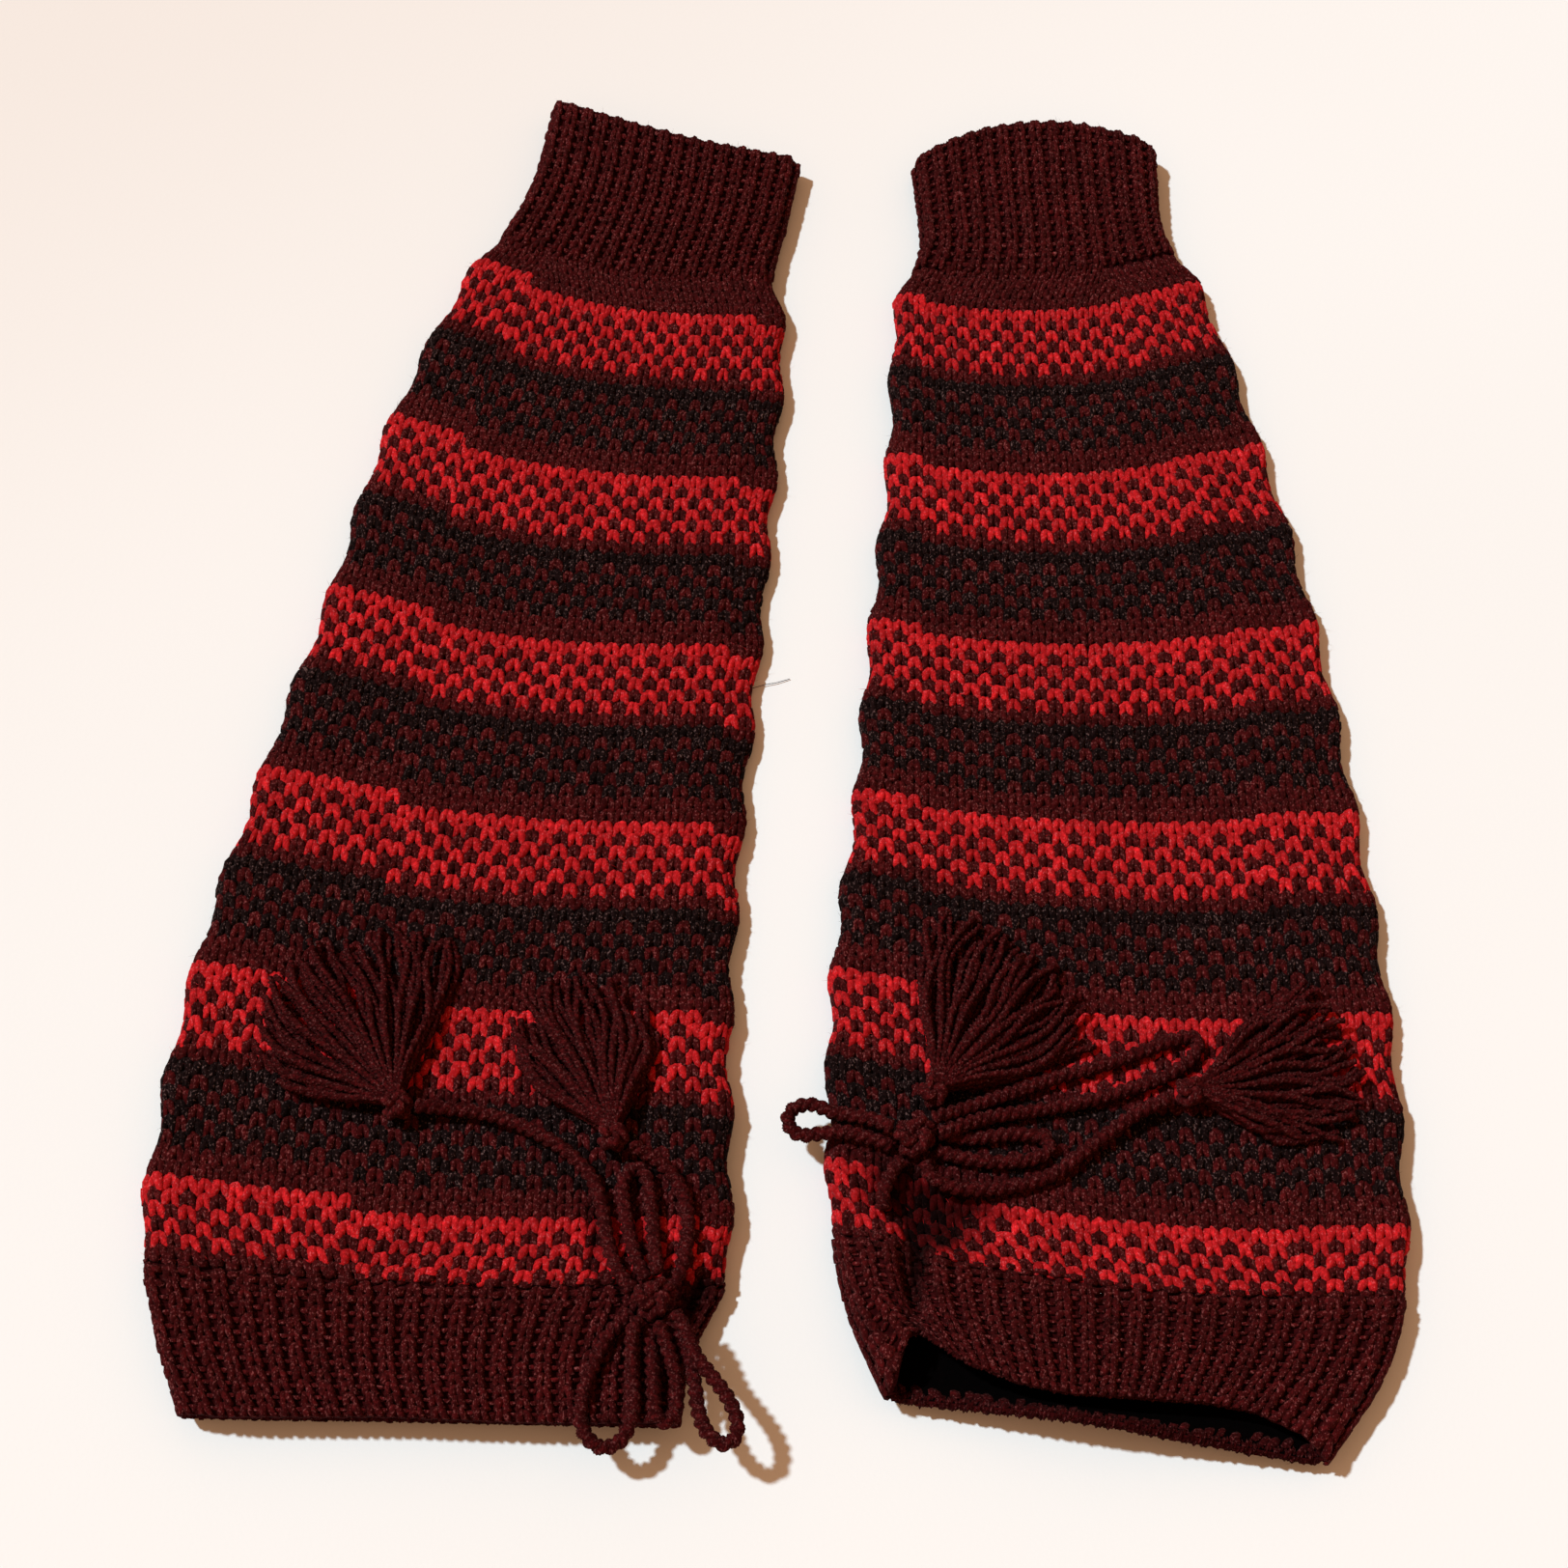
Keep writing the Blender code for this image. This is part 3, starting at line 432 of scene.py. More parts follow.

# Colours of each wool: its own, the deep one between its fibres, the fibre glint of its pale stray fibres
# with their painted sparkle of sheen, and the bloom over it
MAROON_WOOL = (0.057, 0.0036, 0.0041)
MAROON_DEEP = (0.026, 0.0016, 0.0018)
MAROON_FIBRE_GLINT = (0.20, 0.050, 0.048)
MAROON_BLOOM = (0.9, 0.35, 0.3)
RED_WOOL = (0.50, 0.0125, 0.016)
RED_DEEP = (0.33, 0.0065, 0.0085)
RED_FIBRE_GLINT = (0.62, 0.075, 0.085)
RED_BLOOM = (1.0, 0.4, 0.4)
BLACK_WOOL = (0.0090, 0.0030, 0.0030)
BLACK_DEEP = (0.0024, 0.0008, 0.0008)
BLACK_FIBRE_GLINT = (0.13, 0.072, 0.068)
BLACK_BLOOM = (0.8, 0.6, 0.6)
CORD_TINT = 1.45
CORD_DEEP = (0.026, 0.0014, 0.0016)
CORD_FIBRE_GLINT = (0.20, 0.055, 0.052)
CORD_GRAIN = (1.6, 0.5, 1.0)
GREY_HAIR = (0.20, 0.13, 0.09)
GREY_DEEP = (0.12, 0.07, 0.05)
GREY_FIBRE_GLINT = (0.4, 0.3, 0.25)
WOOL_SHEEN = 0.02
BACKING_COLOUR = (0.034, 0.0025, 0.0030)
# Near-black painted shade for the inside faces of the cloth
INSIDE_PAINTED_SHADE = (0.0008, 0.0002, 0.0002)

# Camera and studio
CAMERA_PLACE = (1.26 * MM, -366.14 * MM, 633.1 * MM)
CAMERA_TILT = math.radians(28.0)
CAMERA_LENS = 56.75
SENSOR_WIDTH = 36.0
BACKDROP_SIZE = 8.0
STUDIO_COLOUR = (0.47, 0.25, 0.13, 1.0)
LAMP_STRENGTH = 3.3
LAMP_COLOUR = (0.788, 0.94, 1.0)
LAMP_SPREAD = math.radians(3.5)
LAMP_WAY = (11.2, -4.1, -17.0)


# Shape of the laid cloth

def smooth_value(table, column, course):
    """Read one column of a table at any courses, on a smooth curve through its rows."""
    places = np.array([row.course for row in table], float)
    values = np.array([getattr(row, column) for row in table], float)
    last = len(places) - 1
    before = np.maximum(np.arange(last + 1) - 1, 0)
    after = np.minimum(np.arange(last + 1) + 1, last)
    slope = (values[after] - values[before]) / (places[after] - places[before])
    wanted = np.asarray(course, float)
    inside = np.clip(wanted, places[0], places[-1])
    cell = np.clip(np.searchsorted(places, inside, side="right") - 1, 0, last - 1)
    span = places[cell + 1] - places[cell]
    t = (inside - places[cell]) / span
    value = (values[cell] * (1 + 2 * t) * (1 - t) ** 2 + slope[cell] * span * t * (1 - t) ** 2
             + values[cell + 1] * t * t * (3 - 2 * t) + slope[cell + 1] * span * t * t * (t - 1))
    past_end = wanted - inside
    return value + past_end * np.where(past_end < 0, slope[0], slope[-1])


def fold_place(leg, side, course):
    x = smooth_value(leg.rows, side + "_x", course)
    y = smooth_value(leg.rows, side + "_y", course)
    return np.stack([x, y], -1) * MM


def row_ends(leg, course):
    """The two outer side folds of each row without their scallops, and its sag, in metres."""
    sag = smooth_value(leg.rows, "sag", course) * MM
    return fold_place(leg, "left", course), fold_place(leg, "right", course), sag


def scallop(course):
    """How far the side folds swell out along the leg, in metres."""
    wave = SCALLOP_DEPTH * np.cos(2 * np.pi * (course - SCALLOP_START) / SCALLOP_COURSES)
    from_rib = np.minimum(course - ANKLE_RIB_END, KNEE_RIB_START - course)
    return wave * np.clip(from_rib / SCALLOP_FADE_COURSES, 0, 1)


def row_width(leg, course):
    left, right, _sag = row_ends(leg, np.asarray(course, float))
    return np.linalg.norm(right - left, axis=-1)


def girth(leg, course):
    """Length all round the tube's outline at a course."""
    flat = row_width(leg, course) - 2 * FOLD_RADIUS
    return 2 * flat + 2 * FOLD_RUN


def rise_of(ridges, x, y):
    """Height that ridges and troughs add at places in metres."""
    total = np.zeros_like(x)
    for ridge in ridges:
        turn = math.radians(ridge.turn)
        away_x, away_y = x / MM - ridge.x, y / MM - ridge.y
        along = away_y * math.cos(turn) - away_x * math.sin(turn)
        aside = away_x * math.cos(turn) + away_y * math.sin(turn)
        total += ridge.rise * np.exp(-(along / ridge.half_length) ** 2 - (aside / ridge.half_width) ** 2)
    return total * MM


def slack(x, y):
    """Slow unevenness of handled cloth, in metres."""
    u, v = x / MM, y / MM
    waves = (np.sin(u / 9.0 + 1.7 * np.sin(v / 31.0)) + np.sin(v / 11.0 + 1.3 * np.sin(u / 23.0) + 2.0)
             + 0.7 * np.sin((u + v) / 6.5 + 0.6) * np.sin((u - 2 * v) / 17.0))
    return 0.13 * MM * waves


def knee_draw(leg, course, share):
    """How far places on the upper layer are drawn back at the knee edge."""
    near_edge = np.maximum(0.0, (course - KNEE_RIB_START) / (HEM - KNEE_RIB_START)) ** 2
    amount = np.interp(share, [place.share for place in leg.draws], [place.back for place in leg.draws])
    return amount * MM * near_edge


def contour_point(width, run):
    """A flattened tube's outline at runs round it from the left end of its upper layer."""
    flat = width - 2 * FOLD_RADIUS
    run = np.mod(run, 2 * flat + 2 * FOLD_RUN)
    on_right = (run >= flat) & (run < flat + FOLD_RUN)
    on_top = run < flat
    under = (run >= flat + FOLD_RUN) & (run < 2 * flat + FOLD_RUN)
    angle = np.where(on_right, np.pi / 2 - (run - flat) / FOLD_RADIUS,
                     -np.pi / 2 - (run - 2 * flat - FOLD_RUN) / FOLD_RADIUS)
    centre = np.where(on_right, width - FOLD_RADIUS, FOLD_RADIUS)
    out_x = np.where(on_top | under, 0.0, np.cos(angle))
    out_z = np.where(on_top, 1.0, np.where(under, -1.0, np.sin(angle)))
    under_across = width - FOLD_RADIUS - (run - flat - FOLD_RUN)
    fold_across = centre + FOLD_RADIUS * out_x
    across = np.where(on_top, FOLD_RADIUS + run, np.where(under, under_across, fold_across))
    return across, FOLD_RADIUS * (1 + out_z), out_x, out_z


def facing(leg, course, run):
    """How far the cloth faces up at places, from -1 to 1."""
    _across, _height, _out_x, out_z = contour_point(row_width(leg, course), run)
    return out_z


def tube_point(leg, course, run, offset):
    """Points of the laid tube, moved out of its outline by offsets in metres."""
    course, run, offset = np.broadcast_arrays(np.asarray(course, float), run, offset)
    left, right, sag = row_ends(leg, course)
    width = np.linalg.norm(right - left, axis=-1)
    across, height, out_x, out_z = contour_point(width, run)
    near_folds = np.exp(-((width - across) / SCALLOP_REACH) ** 2) - np.exp(-(across / SCALLOP_REACH) ** 2)
    across = across + out_x * offset + scallop(course) * near_folds
    height = height + out_z * offset
    share = across / width
    place = left + (right - left) * share[..., None]
    upper = (out_z + 1) / 2
    y = place[..., 1] - sag * 4 * share * (1 - share)
    y = y + knee_draw(leg, course, np.clip(share, 0, 1)) * upper
    x = place[..., 0]
    height = height + (rise_of(leg.ridges, x, y) + rise_of(leg.creases, x, y) + slack(x, y)) * upper
    height = height + rise_of(leg.under_creases, x, y) * (1 - upper)
    return np.stack([x - TUBE_MIDDLE[0], y - TUBE_MIDDLE[1], height], -1)


def seam_places(leg, course):
    """Runs of the two seams on the upper layer, from its left end."""
    from_left = smooth_value(leg.seams, "from_left", course) * MM
    from_right = smooth_value(leg.seams, "from_right", course) * MM
    flat = row_width(leg, course) - 2 * FOLD_RADIUS
    return from_left - FOLD_RADIUS, flat + FOLD_RADIUS - from_right


# Meshes

def leave_edit():
    if bpy.context.object and bpy.context.object.mode != "OBJECT":
        bpy.ops.object.mode_set(mode="OBJECT")
    bpy.ops.object.select_all(action="DESELECT")


def ball(name, sides, bands):
    """A small ball whose poles lie along Y, ready to be shaped."""
    leave_edit()
    bpy.ops.mesh.primitive_uv_sphere_add(segments=sides, ring_count=bands, radius=1.0,
                                         rotation=(math.pi / 2, 0, 0))
    thing = bpy.context.object
    thing.name = name
    bpy.ops.object.transform_apply(location=False, rotation=True, scale=False)
    return thing


def select_ring(thing, place):
    """In edit mode, select the points whose place along Y is the given one."""
    bpy.ops.mesh.select_all(action="DESELECT")
    bpy.ops.object.mode_set(mode="OBJECT")
    for vertex in thing.data.vertices:
        vertex.select = abs(vertex.co.y - place) < 0.02
    bpy.ops.object.mode_set(mode="EDIT")


def shape_rings(thing, rings):
    """Move each ring of a ball to its place along the yarn and give it its size.

    A shaped ring waits far along Y, so that the next one is selected alone.
    """
    places = sorted({round(vertex.co.y, 3) for vertex in thing.data.vertices})
    bpy.ops.object.mode_set(mode="EDIT")
    bpy.ops.mesh.select_mode(type="VERT")
    far = 100.0
    for place, ring in reversed(list(zip(places, rings))):
        select_ring(thing, place)
        size = max(math.sqrt(max(1 - place * place, 0)), 0.01)
        bpy.ops.transform.resize(value=(ring.half_width / size, 1, ring.half_thick / size),
                                 center_override=(0, place, 0))
        bpy.ops.transform.translate(value=(ring.aside, ring.along - place + far, ring.height))
    bpy.ops.object.mode_set(mode="OBJECT")
    bpy.ops.object.mode_set(mode="EDIT")
    bpy.ops.mesh.select_all(action="SELECT")
    bpy.ops.transform.translate(value=(0, -far, 0))
    bpy.ops.object.mode_set(mode="OBJECT")


def pattern_of(thing):
    """Points in millimetres and triangles of a modelled piece, which is then taken away."""
    mesh = thing.data
    mesh.calc_loop_triangles()
    points = np.array([vertex.co for vertex in mesh.vertices])
    faces = np.array([triangle.vertices for triangle in mesh.loop_triangles])
    bpy.data.objects.remove(thing)
    return points, faces


def piece(name, points, faces, materials, tone, grain, yarn=None):
    """A smooth mesh object from points and triangles, riding on the frame."""
    mesh = bpy.data.meshes.new(name)
    mesh.from_pydata(points.tolist(), [], faces.tolist())
    thing = bpy.data.objects.new(name, mesh)
    bpy.context.scene.collection.objects.link(thing)
    for material in materials:
        mesh.materials.append(material)
    if yarn is not None:
        mesh.polygons.foreach_set("material_index", yarn.astype(np.int32))
    mesh.polygons.foreach_set("use_smooth", np.ones(len(faces), bool))
    mesh.attributes.new("tone", "FLOAT", "POINT").data.foreach_set("value", tone.astype(np.float32))
    layer = mesh.uv_layers.new(name="yarn")
    layer.data.foreach_set("uv", grain[faces.ravel()].astype(np.float32).ravel())
    mesh.validate()
    mesh.update()
    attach(thing, "root")
    return thing


def joined(parts):
    """Points and faces of several meshes as one."""
    start, all_points, all_faces = 0, [], []
    for points, faces in parts:
        all_points.append(points)
        all_faces.append(faces + start)
        start += len(points)
    return np.concatenate(all_points), np.concatenate(all_faces)


# Materials

class Finish:
    """A small helper that adds and joins nodes of one material."""

    def __init__(self, name):
        self.material = bpy.data.materials.new(name)
        self.material.use_nodes = True
        self.tree = self.material.node_tree
        self.shader = self.tree.nodes["Principled BSDF"]

    def add(self, kind, **settings):
        node = self.tree.nodes.new(kind)
        for key, value in settings.items():
            setattr(node, key, value)
        return node

    def link(self, source, target):
        self.tree.links.new(source, target)

    def noise(self, vector, scale, detail=2.0, roughness=0.5):
        node = self.add("ShaderNodeTexNoise")
        node.inputs["Scale"].default_value = scale
        node.inputs["Detail"].default_value = detail
        node.inputs["Roughness"].default_value = roughness
        self.link(vector, node.inputs["Vector"])
        return node.outputs["Fac"]

    def stretch(self, vector, scale):
        node = self.add("ShaderNodeVectorMath", operation="MULTIPLY")
        node.inputs[1].default_value = scale
        self.link(vector, node.inputs[0])
        return node.outputs["Vector"]

    def ramp(self, value, low, high, out_low=0.0, out_high=1.0):
        node = self.add("ShaderNodeMapRange", interpolation_type="SMOOTHSTEP")
        self.link(value, node.inputs["Value"])
        node.inputs["From Min"].default_value = low
        node.inputs["From Max"].default_value = high
        node.inputs["To Min"].default_value = out_low
        node.inputs["To Max"].default_value = out_high
        return node.outputs["Result"]

    def mix(self, factor, first, second):
        node = self.add("ShaderNodeMix", data_type="RGBA")
        self.link(factor, node.inputs["Factor"])
        for socket, value in ((node.inputs[6], first), (node.inputs[7], second)):
            if isinstance(value, tuple):
                socket.default_value = (*value, 1.0)
            else:
                self.link(value, socket)
        return node.outputs[2]

    def darken(self, colour, value):
        """Multiply a colour by a number."""
        node = self.add("ShaderNodeVectorMath", operation="SCALE")
        self.link(colour, node.inputs[0])
        self.link(value, node.inputs["Scale"])
        return node.outputs["Vector"]

    def bump(self, value, strength, distance, after=None):
        node = self.add("ShaderNodeBump")
        node.inputs["Strength"].default_value = strength
        node.inputs["Distance"].default_value = distance
        self.link(value, node.inputs["Height"])
        if after is not None:
            self.link(after, node.inputs["Normal"])
        return node.outputs["Normal"]


def tinted(colour, amount):
    return tuple(min(channel * amount, 1.0) for channel in colour)


def yarn_finish(name, colour, deep, fibre_glint, fleck_share, sheen, sheen_tint, grain_scale=(2.6, 0.5, 1.0)):
    """Soft spun wool: fibres along the yarn, mottled dye, pale stray fibres with painted glints of their
    sheen and a dull bloom, darkened by the tone attribute, which holds random tone and painted shade.
    """
    finish = Finish(name)
    place = finish.add("ShaderNodeTexCoord").outputs["Object"]
    grain = finish.add("ShaderNodeUVMap", uv_map="yarn").outputs["UV"]
    tone = finish.add("ShaderNodeAttribute", attribute_name="tone").outputs["Fac"]
    fibre = finish.noise(finish.stretch(grain, grain_scale), 1.0, 3.0, 0.65)
    mottle = finish.noise(place, 800.0, 2.0, 0.6)
    speck = finish.noise(finish.stretch(place, (1.0, 0.75, 1.0)), 1700.0, 2.0, 0.6)
    base = finish.mix(finish.ramp(fibre, 0.30, 0.72), deep, colour)
    base = finish.mix(finish.ramp(mottle, 0.50, 0.36, 0.0, 0.75), base, deep)
    base = finish.mix(finish.ramp(mottle, 0.50, 0.68, 0.0, 0.75), base, tinted(colour, 1.5))
    # Painted highlight: pale flecks for stray fibres and the glints of their sheen
    base = finish.mix(finish.ramp(speck, 0.59 - fleck_share, 0.70 - fleck_share, 0.0, 0.85), base, fibre_glint)
    finish.link(finish.darken(base, tone), finish.shader.inputs["Base Color"])
    finish.shader.inputs["Roughness"].default_value = 0.9
    finish.shader.inputs["Specular IOR Level"].default_value = 0.04
    finish.shader.inputs["Sheen Weight"].default_value = sheen
    finish.shader.inputs["Sheen Roughness"].default_value = 0.45
    finish.shader.inputs["Sheen Tint"].default_value = (*sheen_tint, 1.0)
    normal = finish.bump(fibre, 0.9, 0.40 * MM)
    normal = finish.bump(speck, 0.8, 0.40 * MM, normal)
    finish.link(normal, finish.shader.inputs["Normal"])
    return finish.material


def backing_finish(name, colour):
    """The shaded cloth between and behind the stitches."""
    finish = Finish(name)
    place = finish.add("ShaderNodeTexCoord").outputs["Object"]
    loops = finish.noise(finish.stretch(place, (1.0, 1.6, 1.0)), 520.0, 2.0, 0.6)
    fibre = finish.noise(place, 2400.0, 2.0, 0.6)
    base = finish.mix(finish.ramp(loops, 0.35, 0.7), tinted(colour, 0.55), tinted(colour, 1.2))
    finish.link(finish.mix(finish.ramp(fibre, 0.6, 0.8, 0.0, 0.5), base, tinted(colour, 2.0)),
                finish.shader.inputs["Base Color"])
    finish.shader.inputs["Roughness"].default_value = 0.95
    finish.shader.inputs["Specular IOR Level"].default_value = 0.03
    normal = finish.bump(loops, 0.9, 0.5 * MM)
    finish.link(finish.bump(fibre, 0.5, 0.15 * MM, normal), finish.shader.inputs["Normal"])
    return finish.material


def floor_finish():
    """Plain cream backdrop with a barely uneven surface, darkened towards its back left by painted shade."""
    finish = Finish("cream backdrop")
    place = finish.add("ShaderNodeTexCoord").outputs["Object"]
    cloud = finish.noise(place, 2.4, 2.0, 0.5)
    tooth = finish.noise(place, 900.0, 2.0, 0.6)
    reach = finish.add("ShaderNodeVectorMath", operation="DOT_PRODUCT")
    finish.link(place, reach.inputs[0])
    reach.inputs[1].default_value = (-0.6, 0.8, 0.0)
    plain = finish.mix(finish.ramp(cloud, 0.3, 0.7), (0.862, 0.865, 0.870), (0.885, 0.890, 0.898))
    # Painted shade: the backdrop darkens towards its back left
    shaded = finish.ramp(reach.outputs["Value"], 0.02, 0.42)
    finish.link(finish.mix(shaded, plain, (0.815, 0.770, 0.745)), finish.shader.inputs["Base Color"])
    finish.shader.inputs["Roughness"].default_value = 0.95
    finish.shader.inputs["Specular IOR Level"].default_value = 0.1
    finish.link(finish.bump(tooth, 0.15, 0.2 * MM), finish.shader.inputs["Normal"])
    return finish.material


# Cords, knots and tassels

def port_point(knot, port):
    """Where a cord meets its knot."""
    angle = math.radians(port.angle)
    return (knot.x + PORT_RADIUS * math.cos(angle), knot.y + PORT_RADIUS * math.sin(angle),
            getattr(knot, port.level))


def travel(route):
    """How far along a route each of its points lies."""
    return np.concatenate([[0], np.cumsum(np.linalg.norm(np.diff(route, axis=0), axis=1))])


def smooth_route(points, step):
    """Points about a step apart on a smooth curve through the given points, in metres in the frame."""
    route = np.array(points, float) * MM - np.array([TUBE_MIDDLE[0], TUBE_MIDDLE[1], 0.0])
    ends = np.concatenate([[route[0] * 2 - route[1]], route, [route[-1] * 2 - route[-2]]])
    fine = []
    for a, b, c, d in zip(ends, ends[1:], ends[2:], ends[3:]):
        for i in range(CURVE_SAMPLES):
            t = i / CURVE_SAMPLES
            fine.append(0.5 * (2 * b + (c - a) * t + (2 * a - 5 * b + 4 * c - d) * t * t
                               + (3 * b - a - 3 * c + d) * t ** 3))
    fine.append(route[-1])
    fine = np.array(fine)
    travelled = travel(fine)
    wanted = np.linspace(0, travelled[-1], max(3, round(travelled[-1] / step)) + 1)
    return np.stack([np.interp(wanted, travelled, fine[:, k]) for k in range(3)], -1)


def twisted(route, radius, pitch, sides, turn=0.0):
    """Two plies twisted round each other along a route, as one closed skin with rounded ends."""
    count = len(route)
    radius = np.broadcast_to(np.asarray(radius, float), (count,))
    travelled = travel(route)
    ahead = np.gradient(route, axis=0)
    ahead /= np.linalg.norm(ahead, axis=1, keepdims=True)
    side = np.cross(ahead, (0.0, 0.0, 1.0))
    side /= np.maximum(np.linalg.norm(side, axis=1, keepdims=True), 1e-9)
    up = np.cross(side, ahead)
    around = np.arange(sides) * 2 * np.pi / sides
    reach = (PLY_OFFSET * np.abs(np.cos(around))
             + np.sqrt(PLY_RADIUS_SQUARED - PLY_OFFSET_SQUARED * np.sin(around) ** 2))
    angle = around[None, :] + (2 * np.pi * travelled / pitch + turn)[:, None]
    out = side[:, None, :] * np.cos(angle)[..., None] + up[:, None, :] * np.sin(angle)[..., None]
    rings = route[:, None, :] + out * (radius[:, None] * reach[None, :])[..., None]
    first = route[0] - ahead[0] * radius[0] * 0.4
    last = route[-1] + ahead[-1] * radius[-1] * 0.4
    points = np.concatenate([rings.reshape(-1, 3), [first, last]])
    i, j = np.meshgrid(np.arange(count - 1), np.arange(sides), indexing="ij")
    k = (j + 1) % sides
    a, b, c, d = i * sides + j, i * sides + k, (i + 1) * sides + k, (i + 1) * sides + j
    faces = np.concatenate([np.stack([a, b, c], -1).reshape(-1, 3), np.stack([a, c, d], -1).reshape(-1, 3)])
    j = np.arange(sides)
    k = (j + 1) % sides
    start_cap = np.stack([np.full(sides, count * sides), k, j], -1)
    end_base = (count - 1) * sides
    end_cap = np.stack([np.full(sides, count * sides + 1), end_base + j, end_base + k], -1)
    faces = np.concatenate([faces, start_cap, end_cap])
    ring_grain = np.stack(np.broadcast_arrays(around[None, :] * radius[:, None] / MM,
                                              travelled[:, None] / MM), -1).reshape(-1, 2)
    grain = np.concatenate([ring_grain, [[0, 0], [0, travelled[-1] / MM]]])
    # Painted shade: tone darker in the grooves between the plies and lighter on their crests
    deep = np.tile(0.62 + 0.38 * (reach - reach.min()) / (reach.max() - reach.min()), count)
    return points, faces, grain, np.concatenate([deep, [0.8, 0.8]])


def yarn_piece(name, skins, material):
    """Several twisted yarns as one object."""
    points, faces = joined([(skin[0], skin[1]) for skin in skins])
    grain = np.concatenate([skin[2] for skin in skins])
    tone = np.concatenate([skin[3] for skin in skins])
    return piece(name, points, faces, [material], tone, grain)


def knot_route(half, cord, turn, samples, centre):
    """A route that passes over and under itself three times, inside half sizes in millimetres."""
    angle = np.linspace(0, 2 * np.pi, samples)
    wide, deep, high = (size - cord for size in half)
    x = (2 + np.cos(3 * angle)) * np.cos(2 * angle) / 3 * wide
    y = (2 + np.cos(3 * angle)) * np.sin(2 * angle) / 3 * deep
    z = np.sin(3 * angle) * high
    turned_x = x * math.cos(turn) - y * math.sin(turn)
    turned_y = x * math.sin(turn) + y * math.cos(turn)
    return np.stack([turned_x, turned_y, z], -1) * MM + centre


def tied_knot(name, centre, half, turn, material):
    """A tied lump of cord round a core that fills its middle."""
    cord = CORD_DIAMETER / MM / 2 * KNOT_SWELL
    route = knot_route(half, cord, turn, KNOT_SAMPLES, centre)
    core = np.linspace(-1, 1, 9)
    core_route = np.stack([core * (half[0] - cord) * 0.9, 0 * core, 0 * core], -1) * MM + centre
    core_radius = np.sqrt(np.maximum(1 - core ** 2, 0.05)) * (half[2] - cord) * 1.1 * MM
    skins = [twisted(route, cord * MM, CORD_PITCH, CORD_SIDES),
             twisted(core_route, core_radius, 1.0, CORD_SIDES)]
    return yarn_piece(name, skins, material)


def frame_place(x, y, z):
    return np.array([x * MM - TUBE_MIDDLE[0], y * MM - TUBE_MIDDLE[1], z * MM])


def fan_reach(tassel, side, column, layer):
    """A strand's reach in millimetres, from its side of the fan, -1 to 1, and its place there."""
    uneven = 0.5 + 0.5 * math.sin(column * 2.3 + layer * 4.1)
    side_reach = tassel.reach_first if side < 0 else tassel.reach_last
    return tassel.reach_middle + (side_reach - tassel.reach_middle) * side * side - UNEVEN_ENDS * uneven


def tassel_piece(tassel, material):
    """A tied head with a fan of twisted strands in layers."""
    chance = np.random.default_rng(int(1000 + tassel.aim * 7))
    aim = math.radians(tassel.aim)
    centre = frame_place(tassel.x, tassel.y, tassel.z)
    share = np.linspace(0, 1, STRAND_RINGS)
    places = [station.share for station in STRAND_STATIONS]
    drop = np.interp(share, places, [station.drop for station in STRAND_STATIONS])
    gap = np.interp(share, places, [station.layer_gap for station in STRAND_STATIONS])
    radius = np.interp(share, places, [station.radius for station in STRAND_STATIONS])
    half_way = (STRANDS_ACROSS - 1) / 2
    middle_layer = (STRAND_LAYERS - 1) / 2
    skins = []
    for column in range(STRANDS_ACROSS):
        for layer in range(STRAND_LAYERS):
            side = (column - half_way + STAGGER * (layer - middle_layer)) / half_way
            side = min(max(side + 0.05 * chance.standard_normal(), -1.05), 1.05)
            reach = fan_reach(tassel, side, column, layer) + 5 * (chance.random() - 0.5)
            bend = np.sin(share * (1.6 + 1.6 * chance.random()) * np.pi + chance.random() * 6)
            turned = np.radians(tassel.spread) * side * (1.0 + 0.18 * np.sin(share * np.pi))
            angle = aim + turned + BEND_SWING * bend * share
            out = HEAD_RADIUS * FAN_START + (reach - HEAD_RADIUS * FAN_START) * share
            height = drop + gap * LAYER_PRESS * (layer - middle_layer) + BEND_RISE * bend * share
            route = np.stack([out * np.cos(angle), out * np.sin(angle), height], -1) * MM + centre
            route[:, 2] = np.maximum(route[:, 2], LOWEST_STRAND)
            pitch = (STRAND_PITCH + 2 * chance.random()) * MM
            skins.append(twisted(route, radius * MM, pitch, STRAND_SIDES, chance.random() * 6))
    head_route = knot_route(HEAD_HALF, HEAD_CORD, aim, HEAD_SAMPLES, centre)
    skins.append(twisted(head_route, HEAD_CORD * MM, CORD_PITCH, CORD_SIDES))
    return yarn_piece(tassel.name + "_yarn", skins, material)


# Knitting

# Half a stitch and a bead as rings along their yarn, in millimetres
Ring = namedtuple("Ring", "along aside height half_width half_thick")
STITCH_RINGS = [
    Ring(-0.45, 0.40, -0.85, 0.01, 0.01),
    Ring(0.50, 0.56, -0.42, 1.10, 0.80),
    Ring(2.60, 1.05, -0.32, 1.19, 0.88),
    Ring(4.75, 1.52, -0.38, 1.04, 0.76),
    Ring(5.75, 1.84, -0.95, 0.01, 0.01),
]
UNDER_STITCH_RINGS = [
    Ring(-0.25, 0.15, -1.05, 0.01, 0.01),
    Ring(1.00, 0.55, -0.62, 0.85, 0.52),
    Ring(4.10, 1.40, -0.50, 0.95, 0.52),
    Ring(5.30, 1.76, -0.95, 0.01, 0.01),
]
BEAD_RINGS = [
    Ring(-0.95, 0.0, -0.30, 0.01, 0.01),
    Ring(-0.50, 0.0, 0.0, 0.92, 0.55),
    Ring(0.50, 0.0, 0.0, 0.92, 0.55),
    Ring(0.95, 0.0, -0.30, 0.01, 0.01),
]


